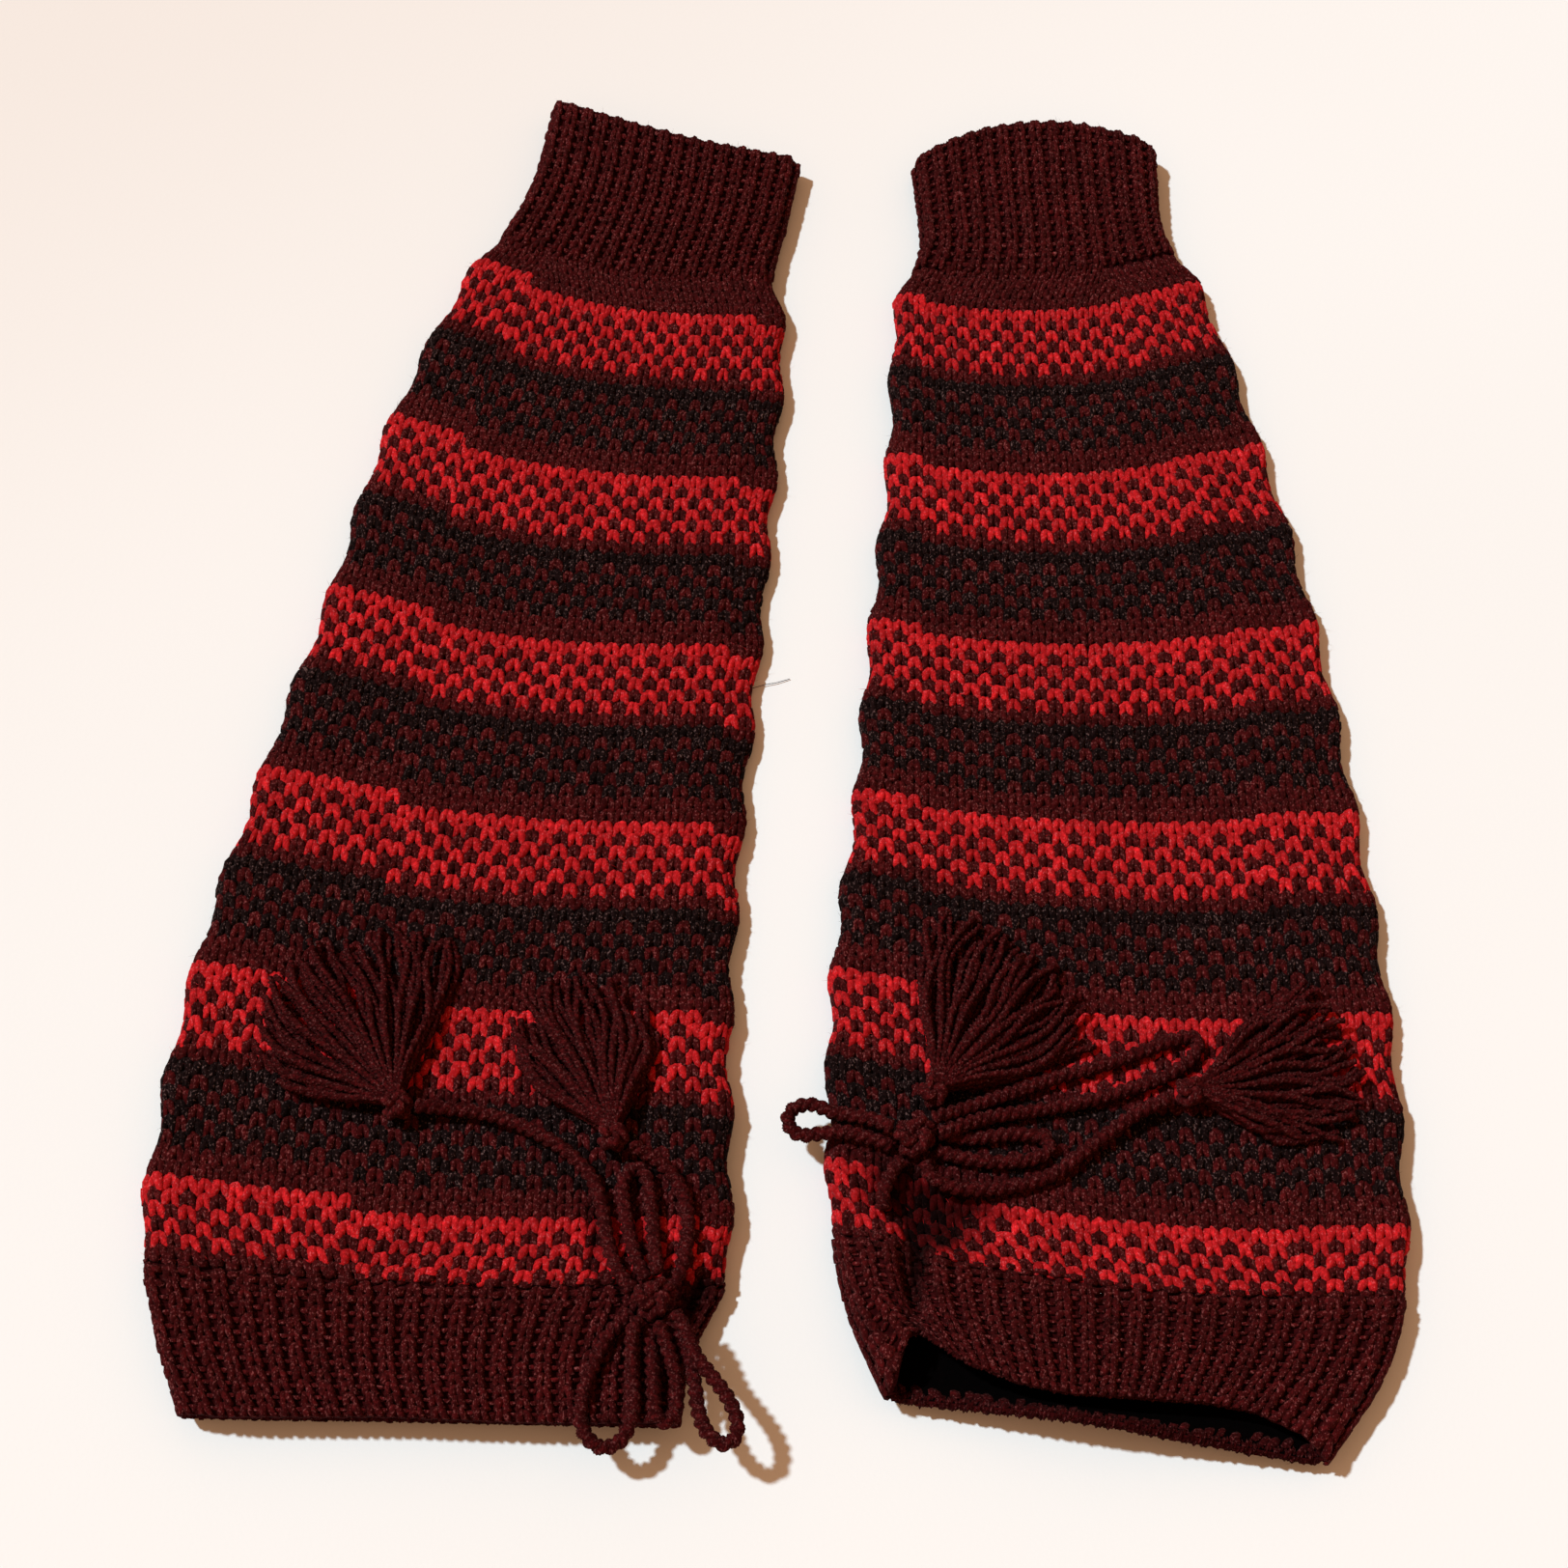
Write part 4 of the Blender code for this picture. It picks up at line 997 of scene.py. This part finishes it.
def chart_yarn(row, column):
    """Which yarn a stitch is knitted in."""
    row, column = np.broadcast_arrays(np.asarray(row), column)
    step = np.mod(row - CHART_START, CHART_ROWS)
    in_chart = (row >= CHART_START) & (row < KNEE_RIB_START - 0.5)
    odd = np.mod(row + column, 2) == 1
    yarn = np.full(row.shape, MAROON)
    yarn[in_chart & (step == 0)] = RED
    yarn[in_chart & np.isin(step, RED_CHECK_ROWS) & odd] = RED
    yarn[in_chart & (step == BLACK_ROW)] = BLACK
    yarn[in_chart & np.isin(step, BLACK_CHECK_ROWS) & odd] = BLACK
    return yarn


def gauge(course):
    return smooth_value(GAUGES, "width", course) * MM


def zone_run(leg, zone, column, course):
    """Run of the middle of a column of stitches at any course."""
    left_seam, right_seam = seam_places(leg, course)
    step = (column + 0.5) * gauge(course)
    if zone == "front":
        return right_seam - step if leg.straight_side == "right" else left_seam + step
    return left_seam - step if zone == "left_strip" else right_seam + step


def zone_limits(leg, zone, course):
    """The two runs between which a zone's stitches stay."""
    left_seam, right_seam = seam_places(leg, course)
    flat = row_width(leg, course) - 2 * FOLD_RADIUS
    if zone == "front":
        return left_seam + SEAM_GAP / 2, right_seam - SEAM_GAP / 2
    if zone == "left_strip":
        return -FOLD_RUN - flat / 2, left_seam - SEAM_GAP / 2
    return right_seam + SEAM_GAP / 2, flat * 1.5 + FOLD_RUN


def zone_stitches(leg, zone):
    """Rows, columns and places along the leg of every stitch of a zone."""
    first, last = int(ANKLE_RIB_END), int(KNEE_RIB_START)
    rows = np.arange(first - 2, last + 3)
    shift = np.zeros(len(rows)) if zone == "front" else smooth_value(leg.shifts, zone, rows)
    course = rows - shift - STITCH_LEAD
    inside = (course > first - 0.45) & (course < last - 0.55)
    rows, course = rows[inside], course[inside]
    columns = np.arange(MOST_COLUMNS)
    row, column = np.meshgrid(rows, columns, indexing="ij")
    place = np.repeat(course[:, None], len(columns), 1)
    middle = zone_run(leg, zone, column, place + 0.5)
    low, high = zone_limits(leg, zone, place + 0.5)
    room = gauge(place) * -0.4
    kept = (middle > low + room) & (middle < high - room)
    return row[kept], column[kept], place[kept]


def lay_stitches(leg, pattern, place, run_at, width, lift, tone, chance, limits=None, both=True,
                 shade=PLAIN_SHADE):
    """Copy one modelled half stitch to every place, to both sides of its column.

    The shade is the share of tone that the sunk ends of a stitch lose, as painted shade; the leg's painted
    shades darken stitches in its hollows as well.
    """
    shade = np.broadcast_to(np.asarray(shade, float), (len(place),))
    points, faces = pattern
    parts, tones, grains = [], [], []
    count = len(place)
    for side in (1, -1) if both else (1,):
        wider = 1 + WIDTH_VARIES * chance.standard_normal((count, 1))
        across = points[None, :, 0] * width[:, None] * wider
        across = across + SHIFT_ACROSS * chance.standard_normal((count, 1))
        along = points[None, :, 1] * (1 + LENGTH_VARIES * chance.standard_normal((count, 1)))
        along = along + SHIFT_ALONG * chance.standard_normal((count, 1))
        height = points[None, :, 2] + lift[:, None] + SHIFT_UP * chance.standard_normal((count, 1))
        across = across + UNEVEN_YARN * chance.standard_normal(across.shape)
        along = along + UNEVEN_YARN * chance.standard_normal(along.shape)
        height = height + UNEVEN_YARN * chance.standard_normal(height.shape)
        course = np.clip(place[:, None] + along * MM / COURSE, -EDGE_REACH, HEM + EDGE_REACH)
        run = run_at(course) + side * across * MM
        if limits is not None:
            low, high = limits(course)
            run = np.clip(run, low - SEAM_OVERLAP, high + SEAM_OVERLAP)
        laid = tube_point(leg, course, run, height * MM)
        laid[..., 2] = np.maximum(laid[..., 2], LOWEST_YARN)
        order = faces if side == 1 else faces[:, ::-1]
        all_faces = (order[None, :, :] + (np.arange(count) * len(points))[:, None, None]).reshape(-1, 3)
        parts.append((laid.reshape(-1, 3), all_faces))
        # Painted shade: tone falls towards the sunk ends of each stitch
        proud = np.clip((points[:, 2] + SUNK_DEPTH) / SUNK_RANGE, 0, 1)
        # Painted shade: stitches in the leg's hollows and under its bows lose tone
        deep = rise_of(leg.deeps, laid[..., 0] + TUBE_MIDDLE[0], laid[..., 1] + TUBE_MIDDLE[1]) / MM
        light = 1 - np.clip(deep, 0, DEEPEST_SHADE)
        each = tone + TONE_VARIES * chance.standard_normal(count)
        tones.append((each[:, None] * (1 - shade[:, None] * (1 - proud)[None, :]) * light).ravel())
        start = chance.random((count, 2)) * GRAIN_SPREAD
        slant = points[:, 0] + 0.5 * points[:, 1]
        grain = np.stack([slant[None, :] + start[:, :1], points[None, :, 1] + start[:, 1:]], -1)
        grains.append(grain.reshape(-1, 2))
    laid, all_faces = joined(parts)
    return laid, all_faces, np.concatenate(tones), np.concatenate(grains)


def maroon_batch(laid):
    return (*laid, np.full(len(laid[1]), MAROON))


def knit_piece(name, batches, materials):
    """One object from several batches of stitches, each with its yarns."""
    points, faces = joined([(batch[0], batch[1]) for batch in batches])
    tone = np.concatenate([batch[2] for batch in batches])
    grain = np.concatenate([batch[3] for batch in batches])
    yarn = np.concatenate([batch[4] for batch in batches])
    return piece(name, points, faces, materials, tone, grain, yarn)


def panel_stitches(leg, zone, pattern, under_pattern, chance):
    """Batches of a zone: full stitches above and on the folds, plainer ones underneath."""
    row, column, place = zone_stitches(leg, zone)
    yarn = chart_yarn(row, column)
    bold = (yarn != MAROON) & np.isin(np.mod(row - CHART_START, CHART_ROWS), BOLD_ROWS)
    width = gauge(place) / (STITCH_WIDTH * MM) * np.where(bold, BOLD_WIDTH, 1.0)
    under = facing(leg, place, zone_run(leg, zone, column, place)) < -0.5
    batches = []
    for chosen, shape, drop in ((~under, pattern, 0.0), (under, under_pattern, -UNDER_DROP)):
        if not chosen.any():
            continue
        columns = column[chosen][:, None]
        tone = 1 + 0.10 * chance.standard_normal(int(chosen.sum()))
        laid = lay_stitches(leg, shape, place[chosen], lambda course: zone_run(leg, zone, columns, course),
                            width[chosen], drop + BOLD_LIFT * bold[chosen], tone, chance,
                            lambda course: zone_limits(leg, zone, course),
                            shade=np.where(yarn[chosen] == RED, RED_SHADE, PLAIN_SHADE))
        batches.append((*laid, np.tile(np.repeat(yarn[chosen], len(shape[1])), 2)))
    return batches


def rib_count(leg, course, pitch):
    return round(float(girth(leg, np.array(course))) / pitch)


def rib_run(leg, count, index, course):
    """Run of a rib's column at any course."""
    return girth(leg, course) * index / count


def rib_lift(leg, course, run):
    """How far ribs stand out: whole above and on the folds, not underneath."""
    return np.clip((facing(leg, course, run) + 0.9) / 0.5, 0, 1)


def cuff_stitches(leg, first, last, count, patterns, chance):
    """Ribs of plain stitches with sunk beads between them."""
    pattern, under_pattern, bead = patterns
    rows = np.arange(first, last)
    row, index = (grid.ravel() for grid in np.meshgrid(rows, np.arange(count), indexing="ij"))
    pitch = float(rib_run(leg, count, 1.0, np.array((first + last) / 2)) / MM)
    batches = []
    stands = rib_lift(leg, row + 0.5, rib_run(leg, count, index + RIB_PLACE, row + 0.5))
    for chosen, shape in ((stands > 0.3, pattern), (stands <= 0.3, under_pattern)):
        indices = index[chosen][:, None]
        width = np.full(len(indices), pitch * RIB_SHARE / STITCH_WIDTH)
        lift = stands[chosen] * RIB_RISE / MM - UNDER_DROP * (1 - stands[chosen])
        tone = 1 + 0.10 * chance.standard_normal(len(indices))
        laid = lay_stitches(leg, shape, row[chosen].astype(float),
                            lambda course: rib_run(leg, count, indices + RIB_PLACE, course),
                            width, lift, tone, chance, shade=RIB_SHADE)
        batches.append(maroon_batch(laid))
    stands = rib_lift(leg, row + 0.5, rib_run(leg, count, index + FURROW_PLACE, row + 0.5))
    width = np.full(len(row), pitch * FURROW_SHARE)
    lift = -FURROW_DEPTH - 0.3 * (1 - stands)
    # Painted light lifts the tone of the sunk beads in the furrows
    tone = FURROW_PAINTED_LIGHT + 0.12 * chance.standard_normal(len(row))
    laid = lay_stitches(leg, bead, row + 0.5,
                        lambda course: rib_run(leg, count, index[:, None] + FURROW_PLACE, course),
                        width, lift, tone, chance, both=False)
    batches.append(maroon_batch(laid))
    return batches


def edge_roll(leg, course, upper_radius, lower_radius, chance):
    """The rolled edge that closes the cloth, all round the tube."""
    whole = float(girth(leg, np.array(course)))
    run = np.linspace(0, whole, round(whole / ROLL_STEP))
    out_z = facing(leg, np.full(len(run), course), run)
    radius = lower_radius + (upper_radius - lower_radius) * (out_z + 1) / 2
    radius = radius * (1 + 0.07 * chance.standard_normal(len(run)))
    middle = tube_point(leg, course, run, -WALL / 2)
    middle[:, 2] = np.maximum(middle[:, 2], radius)
    points, faces, grain, tone = twisted(middle, radius, ROLL_PITCH, ROLL_SIDES)
    return points, faces, tone, grain, np.full(len(faces), MAROON)


def inner_row(leg, course, bead, chance):
    """A row of the inside's bumps on the lower layer, where the mouth shows it."""
    whole = float(girth(leg, np.array(course)))
    count = int(whole / float(gauge(np.array(course))) * INNER_DENSITY)
    index = np.arange(count) + INNER_SHIFT
    out_z = facing(leg, np.full(count, course), rib_run(leg, count, index, np.full(count, course)))
    index = index[out_z < -0.7]
    index = index + 0.25 * chance.standard_normal(len(index))
    tone = 0.9 + 0.12 * chance.standard_normal(len(index))
    place = course + 0.10 * chance.standard_normal(len(index))
    points, faces = bead
    laid = lay_stitches(leg, (points * (1, 1.7, 1.4), faces), place,
                        lambda at: rib_run(leg, count, index[:, None], at),
                        np.full(len(index), 1.8), np.full(len(index), -WALL / MM - 0.1), tone, chance,
                        both=False)
    return maroon_batch(laid)


def bar_row(leg, course, bead, chance, height):
    """A row of small bars across the cloth, where a cuff is joined on."""
    pitch = float(gauge(np.array(course)))
    count = int(float(girth(leg, np.array(course))) / pitch)
    index = np.arange(count)
    middle = rib_run(leg, count, index + 0.5, np.full(count, course))
    stands = rib_lift(leg, np.full(count, course), middle)
    tone = 1.0 + 0.14 * chance.standard_normal(count)
    height = height + 0.18 * chance.standard_normal(count)
    place = course + 0.10 * chance.standard_normal(count)
    points, faces = bead
    laid = lay_stitches(leg, (points * (1, 1.45, 1.25), faces), place,
                        lambda at: rib_run(leg, count, index[:, None] + 0.5, at),
                        np.full(count, pitch / MM * 0.52), height * stands - 0.5 * (1 - stands), tone,
                        chance, both=False)
    return maroon_batch(laid)


# Shells of cloth

def cloth_shell(name, leg, courses, runs_at, outer_at, ring, materials):
    """A thin wall on the solid's form: a grid is laid on the cloth's face and given its thickness."""
    runs = np.array([runs_at(course) for course in courses])
    rows, columns = runs.shape
    leave_edit()
    bpy.ops.mesh.primitive_grid_add(x_subdivisions=columns - 1, y_subdivisions=rows - 1, size=1)
    thing = bpy.context.object
    thing.name = name
    mesh = thing.data
    for material in materials:
        mesh.materials.append(material)
    places = np.array([vertex.co[:2] for vertex in mesh.vertices])
    i = np.rint((places[:, 0] + 0.5) * (columns - 1)).astype(int)
    j = rows - 1 - np.rint((places[:, 1] + 0.5) * (rows - 1)).astype(int)
    course, run = np.asarray(courses)[j], runs[j, i]
    points = tube_point(leg, course, run, outer_at(course, run))
    mesh.vertices.foreach_set("co", points.ravel())
    if ring:
        bpy.ops.object.mode_set(mode="EDIT")
        bpy.ops.mesh.select_all(action="SELECT")
        bpy.ops.mesh.remove_doubles(threshold=0.02 * MM)
        bpy.ops.object.mode_set(mode="OBJECT")
    wall = thing.modifiers.new("wall", "SOLIDIFY")
    wall.thickness = SHELL_WALL
    wall.offset = -1
    wall.use_even_offset = False
    # The inner faces take the second material, a near-black painted shade
    wall.material_offset = 1
    bpy.ops.object.modifier_apply(modifier=wall.name)
    bpy.ops.object.shade_smooth()
    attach(thing, "root")
    return thing


def spread(start, stop, steps):
    return [start + (stop - start) * i / steps for i in range(steps + 1)]


def rib_shell_runs(leg, count, course):
    whole = float(girth(leg, np.array(course)))
    shares = [(i + part) / count for i in range(count) for part in (0.0, 0.2, 0.6, 0.8)] + [1.0]
    return np.array(shares) * whole


def rib_shell_top(leg, count, course, run):
    share = np.mod(run / girth(leg, course) * count, 1.0)
    from_crest = np.abs(share - RIB_PLACE)
    crest = np.clip((0.42 - np.minimum(from_crest, 1 - from_crest)) / 0.2, 0, 1)
    return SHELL_TOP + RIB_RISE * crest * rib_lift(leg, course, run)


def panel_shell_runs(leg, zone, course):
    left_seam, right_seam = (float(value) for value in seam_places(leg, np.array(course)))
    flat = float(row_width(leg, np.array(course))) - 2 * FOLD_RADIUS
    if zone == "front":
        return np.array(spread(left_seam + SEAM_GAP / 2, right_seam - SEAM_GAP / 2, 30))
    runs = spread(right_seam + SEAM_GAP / 2, flat, 6)[:-1]
    runs += spread(flat, flat + FOLD_RUN, 8)[:-1]
    runs += spread(flat + FOLD_RUN, 2 * flat + FOLD_RUN, 30)[:-1]
    runs += spread(2 * flat + FOLD_RUN, 2 * flat + 2 * FOLD_RUN, 8)[:-1]
    whole = 2 * flat + 2 * FOLD_RUN
    return np.array(runs + spread(whole, whole + left_seam - SEAM_GAP / 2, 10))


def panel_shell(leg, zone, courses, materials):
    return cloth_shell(leg.side + "_" + zone + "_cloth", leg, courses,
                       lambda course: panel_shell_runs(leg, zone, course),
                       lambda course, run: SHELL_TOP, False, materials)


def rib_shell(leg, zone, courses, count, materials):
    return cloth_shell(leg.side + "_" + zone + "_cloth", leg, courses,
                       lambda course: rib_shell_runs(leg, count, course),
                       lambda course, run: rib_shell_top(leg, count, course, run), True, materials)


# Stray fibres

def stray_fibres(leg, count, curved, chance):
    """Fine hairs that stand off the wool, each a slim closed spike."""
    course = chance.random(count) * HEM
    width = row_width(leg, course)
    whole = 2 * (width - 2 * FOLD_RADIUS) + 2 * FOLD_RUN
    upper = width - 2 * FOLD_RADIUS + FOLD_RUN
    run = -FOLD_RUN / 2 + chance.random(count) * upper
    under = chance.random(count) < HAIRS_BELOW
    run = np.where(under, upper + chance.random(count) * (whole - upper), run)
    length = (1.1 + 2.2 * chance.random(count) ** 2) * MM
    heading = chance.random(count) * 2 * np.pi
    lift = 0.25 + 0.75 * chance.random(count)
    root = tube_point(leg, course, run, np.full(count, -HAIR_SINK))
    steps = ((0.5, 0.75), (1.0, 1.0))
    joints = [root]
    for share, bend in steps:
        side = length * share * np.sqrt(1 - lift ** 2 * 0.8)
        course_off = np.sin(heading + bend * 0.6) * side / COURSE
        run_off = np.cos(heading + bend * 0.6) * side
        stand_off = length * share * lift - HAIR_SINK
        joints.append(tube_point(leg, course + course_off, run + run_off, stand_off))
    points = np.stack(joints, 1)
    points[..., 2] = np.maximum(points[..., 2], LOWEST_HAIR)
    around = np.array([0, 1, 2]) * 2 * np.pi / 3
    ahead = points[:, 2] - points[:, 0]
    ahead /= np.maximum(np.linalg.norm(ahead, axis=1, keepdims=True), 1e-9)
    side = np.cross(ahead, (0.3, 0.2, 1.0))
    side /= np.maximum(np.linalg.norm(side, axis=1, keepdims=True), 1e-9)
    up = np.cross(side, ahead)
    rim = side[:, None, :] * np.cos(around)[None, :, None] + up[:, None, :] * np.sin(around)[None, :, None]
    base = points[:, 0][:, None, :] + rim * HAIR_RADIUS
    middle = points[:, 1][:, None, :] + rim * HAIR_RADIUS * 0.8
    tip = points[:, 2][:, None, :]
    if curved:
        body = np.concatenate([base, middle, tip], 1)
        faces = [(0, 2, 1), (0, 1, 4), (0, 4, 3), (1, 2, 5), (1, 5, 4), (2, 0, 3), (2, 3, 5),
                 (3, 4, 6), (4, 5, 6), (5, 3, 6)]
    else:
        body = np.concatenate([base, tip], 1)
        faces = [(0, 2, 1), (0, 1, 3), (1, 2, 3), (2, 0, 3)]
    sides = len(faces)
    corners = body.shape[1]
    faces = np.array(faces)[None, :, :] + (np.arange(count) * corners)[:, None, None]
    row = np.floor(course + STITCH_LEAD).astype(int)
    column = np.floor(run / gauge(course)).astype(int)
    yarn = np.repeat(chart_yarn(row, column), sides)
    tone = np.repeat(1.0 + 0.6 * chance.random(count), corners)
    grain = np.zeros((count * corners, 2))
    return body.reshape(-1, 3), faces.reshape(-1, 3), tone, grain, yarn


# The scene

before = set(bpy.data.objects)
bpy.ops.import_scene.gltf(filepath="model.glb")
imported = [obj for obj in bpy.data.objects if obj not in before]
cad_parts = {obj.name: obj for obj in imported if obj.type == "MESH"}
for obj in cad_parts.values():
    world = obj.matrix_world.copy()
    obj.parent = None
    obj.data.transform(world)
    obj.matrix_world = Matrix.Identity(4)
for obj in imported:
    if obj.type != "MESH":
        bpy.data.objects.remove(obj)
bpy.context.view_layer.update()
leave_edit()

camera_data = bpy.data.cameras.new("camera")
camera_data.lens = CAMERA_LENS
camera_data.sensor_width = SENSOR_WIDTH
camera = bpy.data.objects.new("camera", camera_data)
camera.location = CAMERA_PLACE
camera.rotation_euler = (CAMERA_TILT, 0.0, 0.0)
bpy.context.scene.collection.objects.link(camera)
bpy.context.scene.camera = camera

maroon = yarn_finish("maroon wool", MAROON_WOOL, MAROON_DEEP, MAROON_FIBRE_GLINT, 0.03, WOOL_SHEEN, MAROON_BLOOM)
red = yarn_finish("red wool", RED_WOOL, RED_DEEP, RED_FIBRE_GLINT, 0.02, WOOL_SHEEN, RED_BLOOM)
black = yarn_finish("black wool", BLACK_WOOL, BLACK_DEEP, BLACK_FIBRE_GLINT, 0.02, WOOL_SHEEN, BLACK_BLOOM)
cord_wool = yarn_finish("maroon cord", tinted(MAROON_WOOL, CORD_TINT), CORD_DEEP, CORD_FIBRE_GLINT, 0.03,
                        WOOL_SHEEN, MAROON_BLOOM, CORD_GRAIN)
grey_hair = yarn_finish("grey hair", GREY_HAIR, GREY_DEEP, GREY_FIBRE_GLINT, 0.0, 0.0, (1, 1, 1))
backing = backing_finish("shaded maroon cloth", BACKING_COLOUR)
# The inside faces of the cloth take a near-black painted shade
inside = backing_finish("painted shade inside the cloth", INSIDE_PAINTED_SHADE)
cloths = [backing, inside]
yarns = [maroon, red, black]

knots = {"left": (LEFT_KNOT, "left_bow_knot"), "right": (RIGHT_KNOT, "right_bow_knot")}
knot_pieces = {}
for side, (knot, node) in knots.items():
    place = frame_place(knot.x, knot.y, knot.z)
    thing = tied_knot(node + "_tied", place, KNOT_HALF, KNOT_TURN, cord_wool)
    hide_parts(node)
    knot_pieces[side] = thing

tassel_pieces = {}
for tassel in TASSELS:
    thing = tassel_piece(tassel, cord_wool)
    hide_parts(tassel.name)
    tassel_pieces[tassel.name] = thing

for cord in CORDS:
    ends = [port_point(cord.knot, cord.leaves)] + cord.points
    if cord.returns:
        ends.append(port_point(cord.knot, cord.returns))
    route = smooth_route(ends, CORD_STEP)
    skin = twisted(route, CORD_DIAMETER / 2 * PLY_SWELL, CORD_PITCH, CORD_SIDES)
    thing = yarn_piece(cord.name + "_cord", [skin], cord_wool)
    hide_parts(cord.name)
    if cord.name == HELD_STUB:
        continue
    along = [knot_pieces[KNOT_HOLDER[cord.name]]] if cord.name in KNOT_HOLDER else []
    if cord.name in TASSEL_OF:
        along.append(tassel_pieces[TASSEL_OF[cord.name]])

patterns = []
for name, sides, rings in (("half stitch", 5, STITCH_RINGS), ("plain half stitch", 4, UNDER_STITCH_RINGS),
                           ("bead", 5, BEAD_RINGS)):
    model = ball(name, sides, len(rings) - 1)
    shape_rings(model, rings)
    patterns.append(pattern_of(model))
stitch, under_stitch, bead = patterns

for leg in (LEFT, RIGHT):
    chance = np.random.default_rng(leg.seed)
    ankle_ribs = rib_count(leg, ANKLE_RIB_MIDDLE, ANKLE_RIB_PITCH)
    knee_ribs = rib_count(leg, KNEE_RIB_START, KNEE_RIB_PITCH)
    panel_courses = spread(ANKLE_RIB_END + SEAM_IN_COURSES, KNEE_RIB_START - SEAM_IN_COURSES,
                           PANEL_SHELL_ROWS)
    ankle_courses = spread(0.0, ANKLE_RIB_END - SEAM_IN_COURSES, ANKLE_SHELL_ROWS)
    knee_courses = spread(KNEE_RIB_START + SEAM_IN_COURSES, HEM, KNEE_SHELL_ROWS)

    front = panel_shell(leg, "front", panel_courses, cloths)
    back = panel_shell(leg, "back", panel_courses, cloths)
    ankle = rib_shell(leg, "ankle", ankle_courses, ankle_ribs, cloths)
    knee = rib_shell(leg, "knee", knee_courses, knee_ribs, cloths)

    front_batches = panel_stitches(leg, "front", stitch, under_stitch, chance)
    front_knit = knit_piece(leg.side + "_front_knit", front_batches, yarns)
    back_batches = panel_stitches(leg, "left_strip", stitch, under_stitch, chance)
    back_batches += panel_stitches(leg, "right_strip", stitch, under_stitch, chance)
    back_knit = knit_piece(leg.side + "_back_knit", back_batches, yarns)
    ankle_batches = cuff_stitches(leg, 0, int(ANKLE_RIB_END), ankle_ribs, patterns, chance)
    ankle_batches.append(edge_roll(leg, ANKLE_ROLL_COURSE, ANKLE_ROLL_RADIUS, ANKLE_ROLL_RADIUS, chance))
    ankle_knit = knit_piece(leg.side + "_ankle_knit", ankle_batches, yarns)
    knee_batches = cuff_stitches(leg, int(KNEE_RIB_START), int(HEM), knee_ribs, patterns, chance)
    knee_batches.append(edge_roll(leg, KNEE_ROLL_COURSE, KNEE_ROLL_RADIUS, leg.lower_roll, chance))
    knee_batches.append(inner_row(leg, INNER_COURSE, bead, chance))
    for course, height in BAR_ROWS:
        knee_batches.append(bar_row(leg, course, bead, chance, height))
    knee_knit = knit_piece(leg.side + "_knee_knit", knee_batches, yarns)
    hair_batches = [stray_fibres(leg, CURVED_HAIRS, True, chance),
                    stray_fibres(leg, STRAIGHT_HAIRS, False, chance)]
    hairs = knit_piece(leg.side + "_stray_fibres", hair_batches, yarns)

    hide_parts(leg.side + "_front_panel")
    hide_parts(leg.side + "_back_panel")
    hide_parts(leg.side + "_ankle_rib")
    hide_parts(leg.side + "_knee_rib")

fibre_skin = twisted(smooth_route(LOOSE_FIBRE, 0.5 * MM), LOOSE_RADIUS, LOOSE_PITCH, STRAND_SIDES)
loose_fibre = yarn_piece("left_loose_fibre", [fibre_skin], grey_hair)

leave_edit()
bpy.ops.mesh.primitive_plane_add(size=BACKDROP_SIZE, location=(0, 0, 0))
floor = bpy.context.object
floor.name = "backdrop"
floor.data.materials.append(floor_finish())

world = bpy.data.worlds.new("warm studio")
world.use_nodes = True
world.node_tree.nodes["Background"].inputs["Color"].default_value = STUDIO_COLOUR
world.node_tree.nodes["Background"].inputs["Strength"].default_value = 1.0
bpy.context.scene.world = world

sun_data = bpy.data.lights.new("studio lamp", "SUN")
sun_data.energy = LAMP_STRENGTH
sun_data.color = LAMP_COLOUR
sun_data.angle = LAMP_SPREAD
sun = bpy.data.objects.new("studio lamp", sun_data)
light_way = np.array(LAMP_WAY)
light_way /= np.linalg.norm(light_way)
lamp_turn = math.atan2(light_way[1], light_way[0]) + math.pi / 2 + math.pi
sun.rotation_euler = (math.acos(-light_way[2]), 0.0, lamp_turn)
bpy.context.scene.collection.objects.link(sun)

bpy.context.scene.view_settings.view_transform = "Standard"
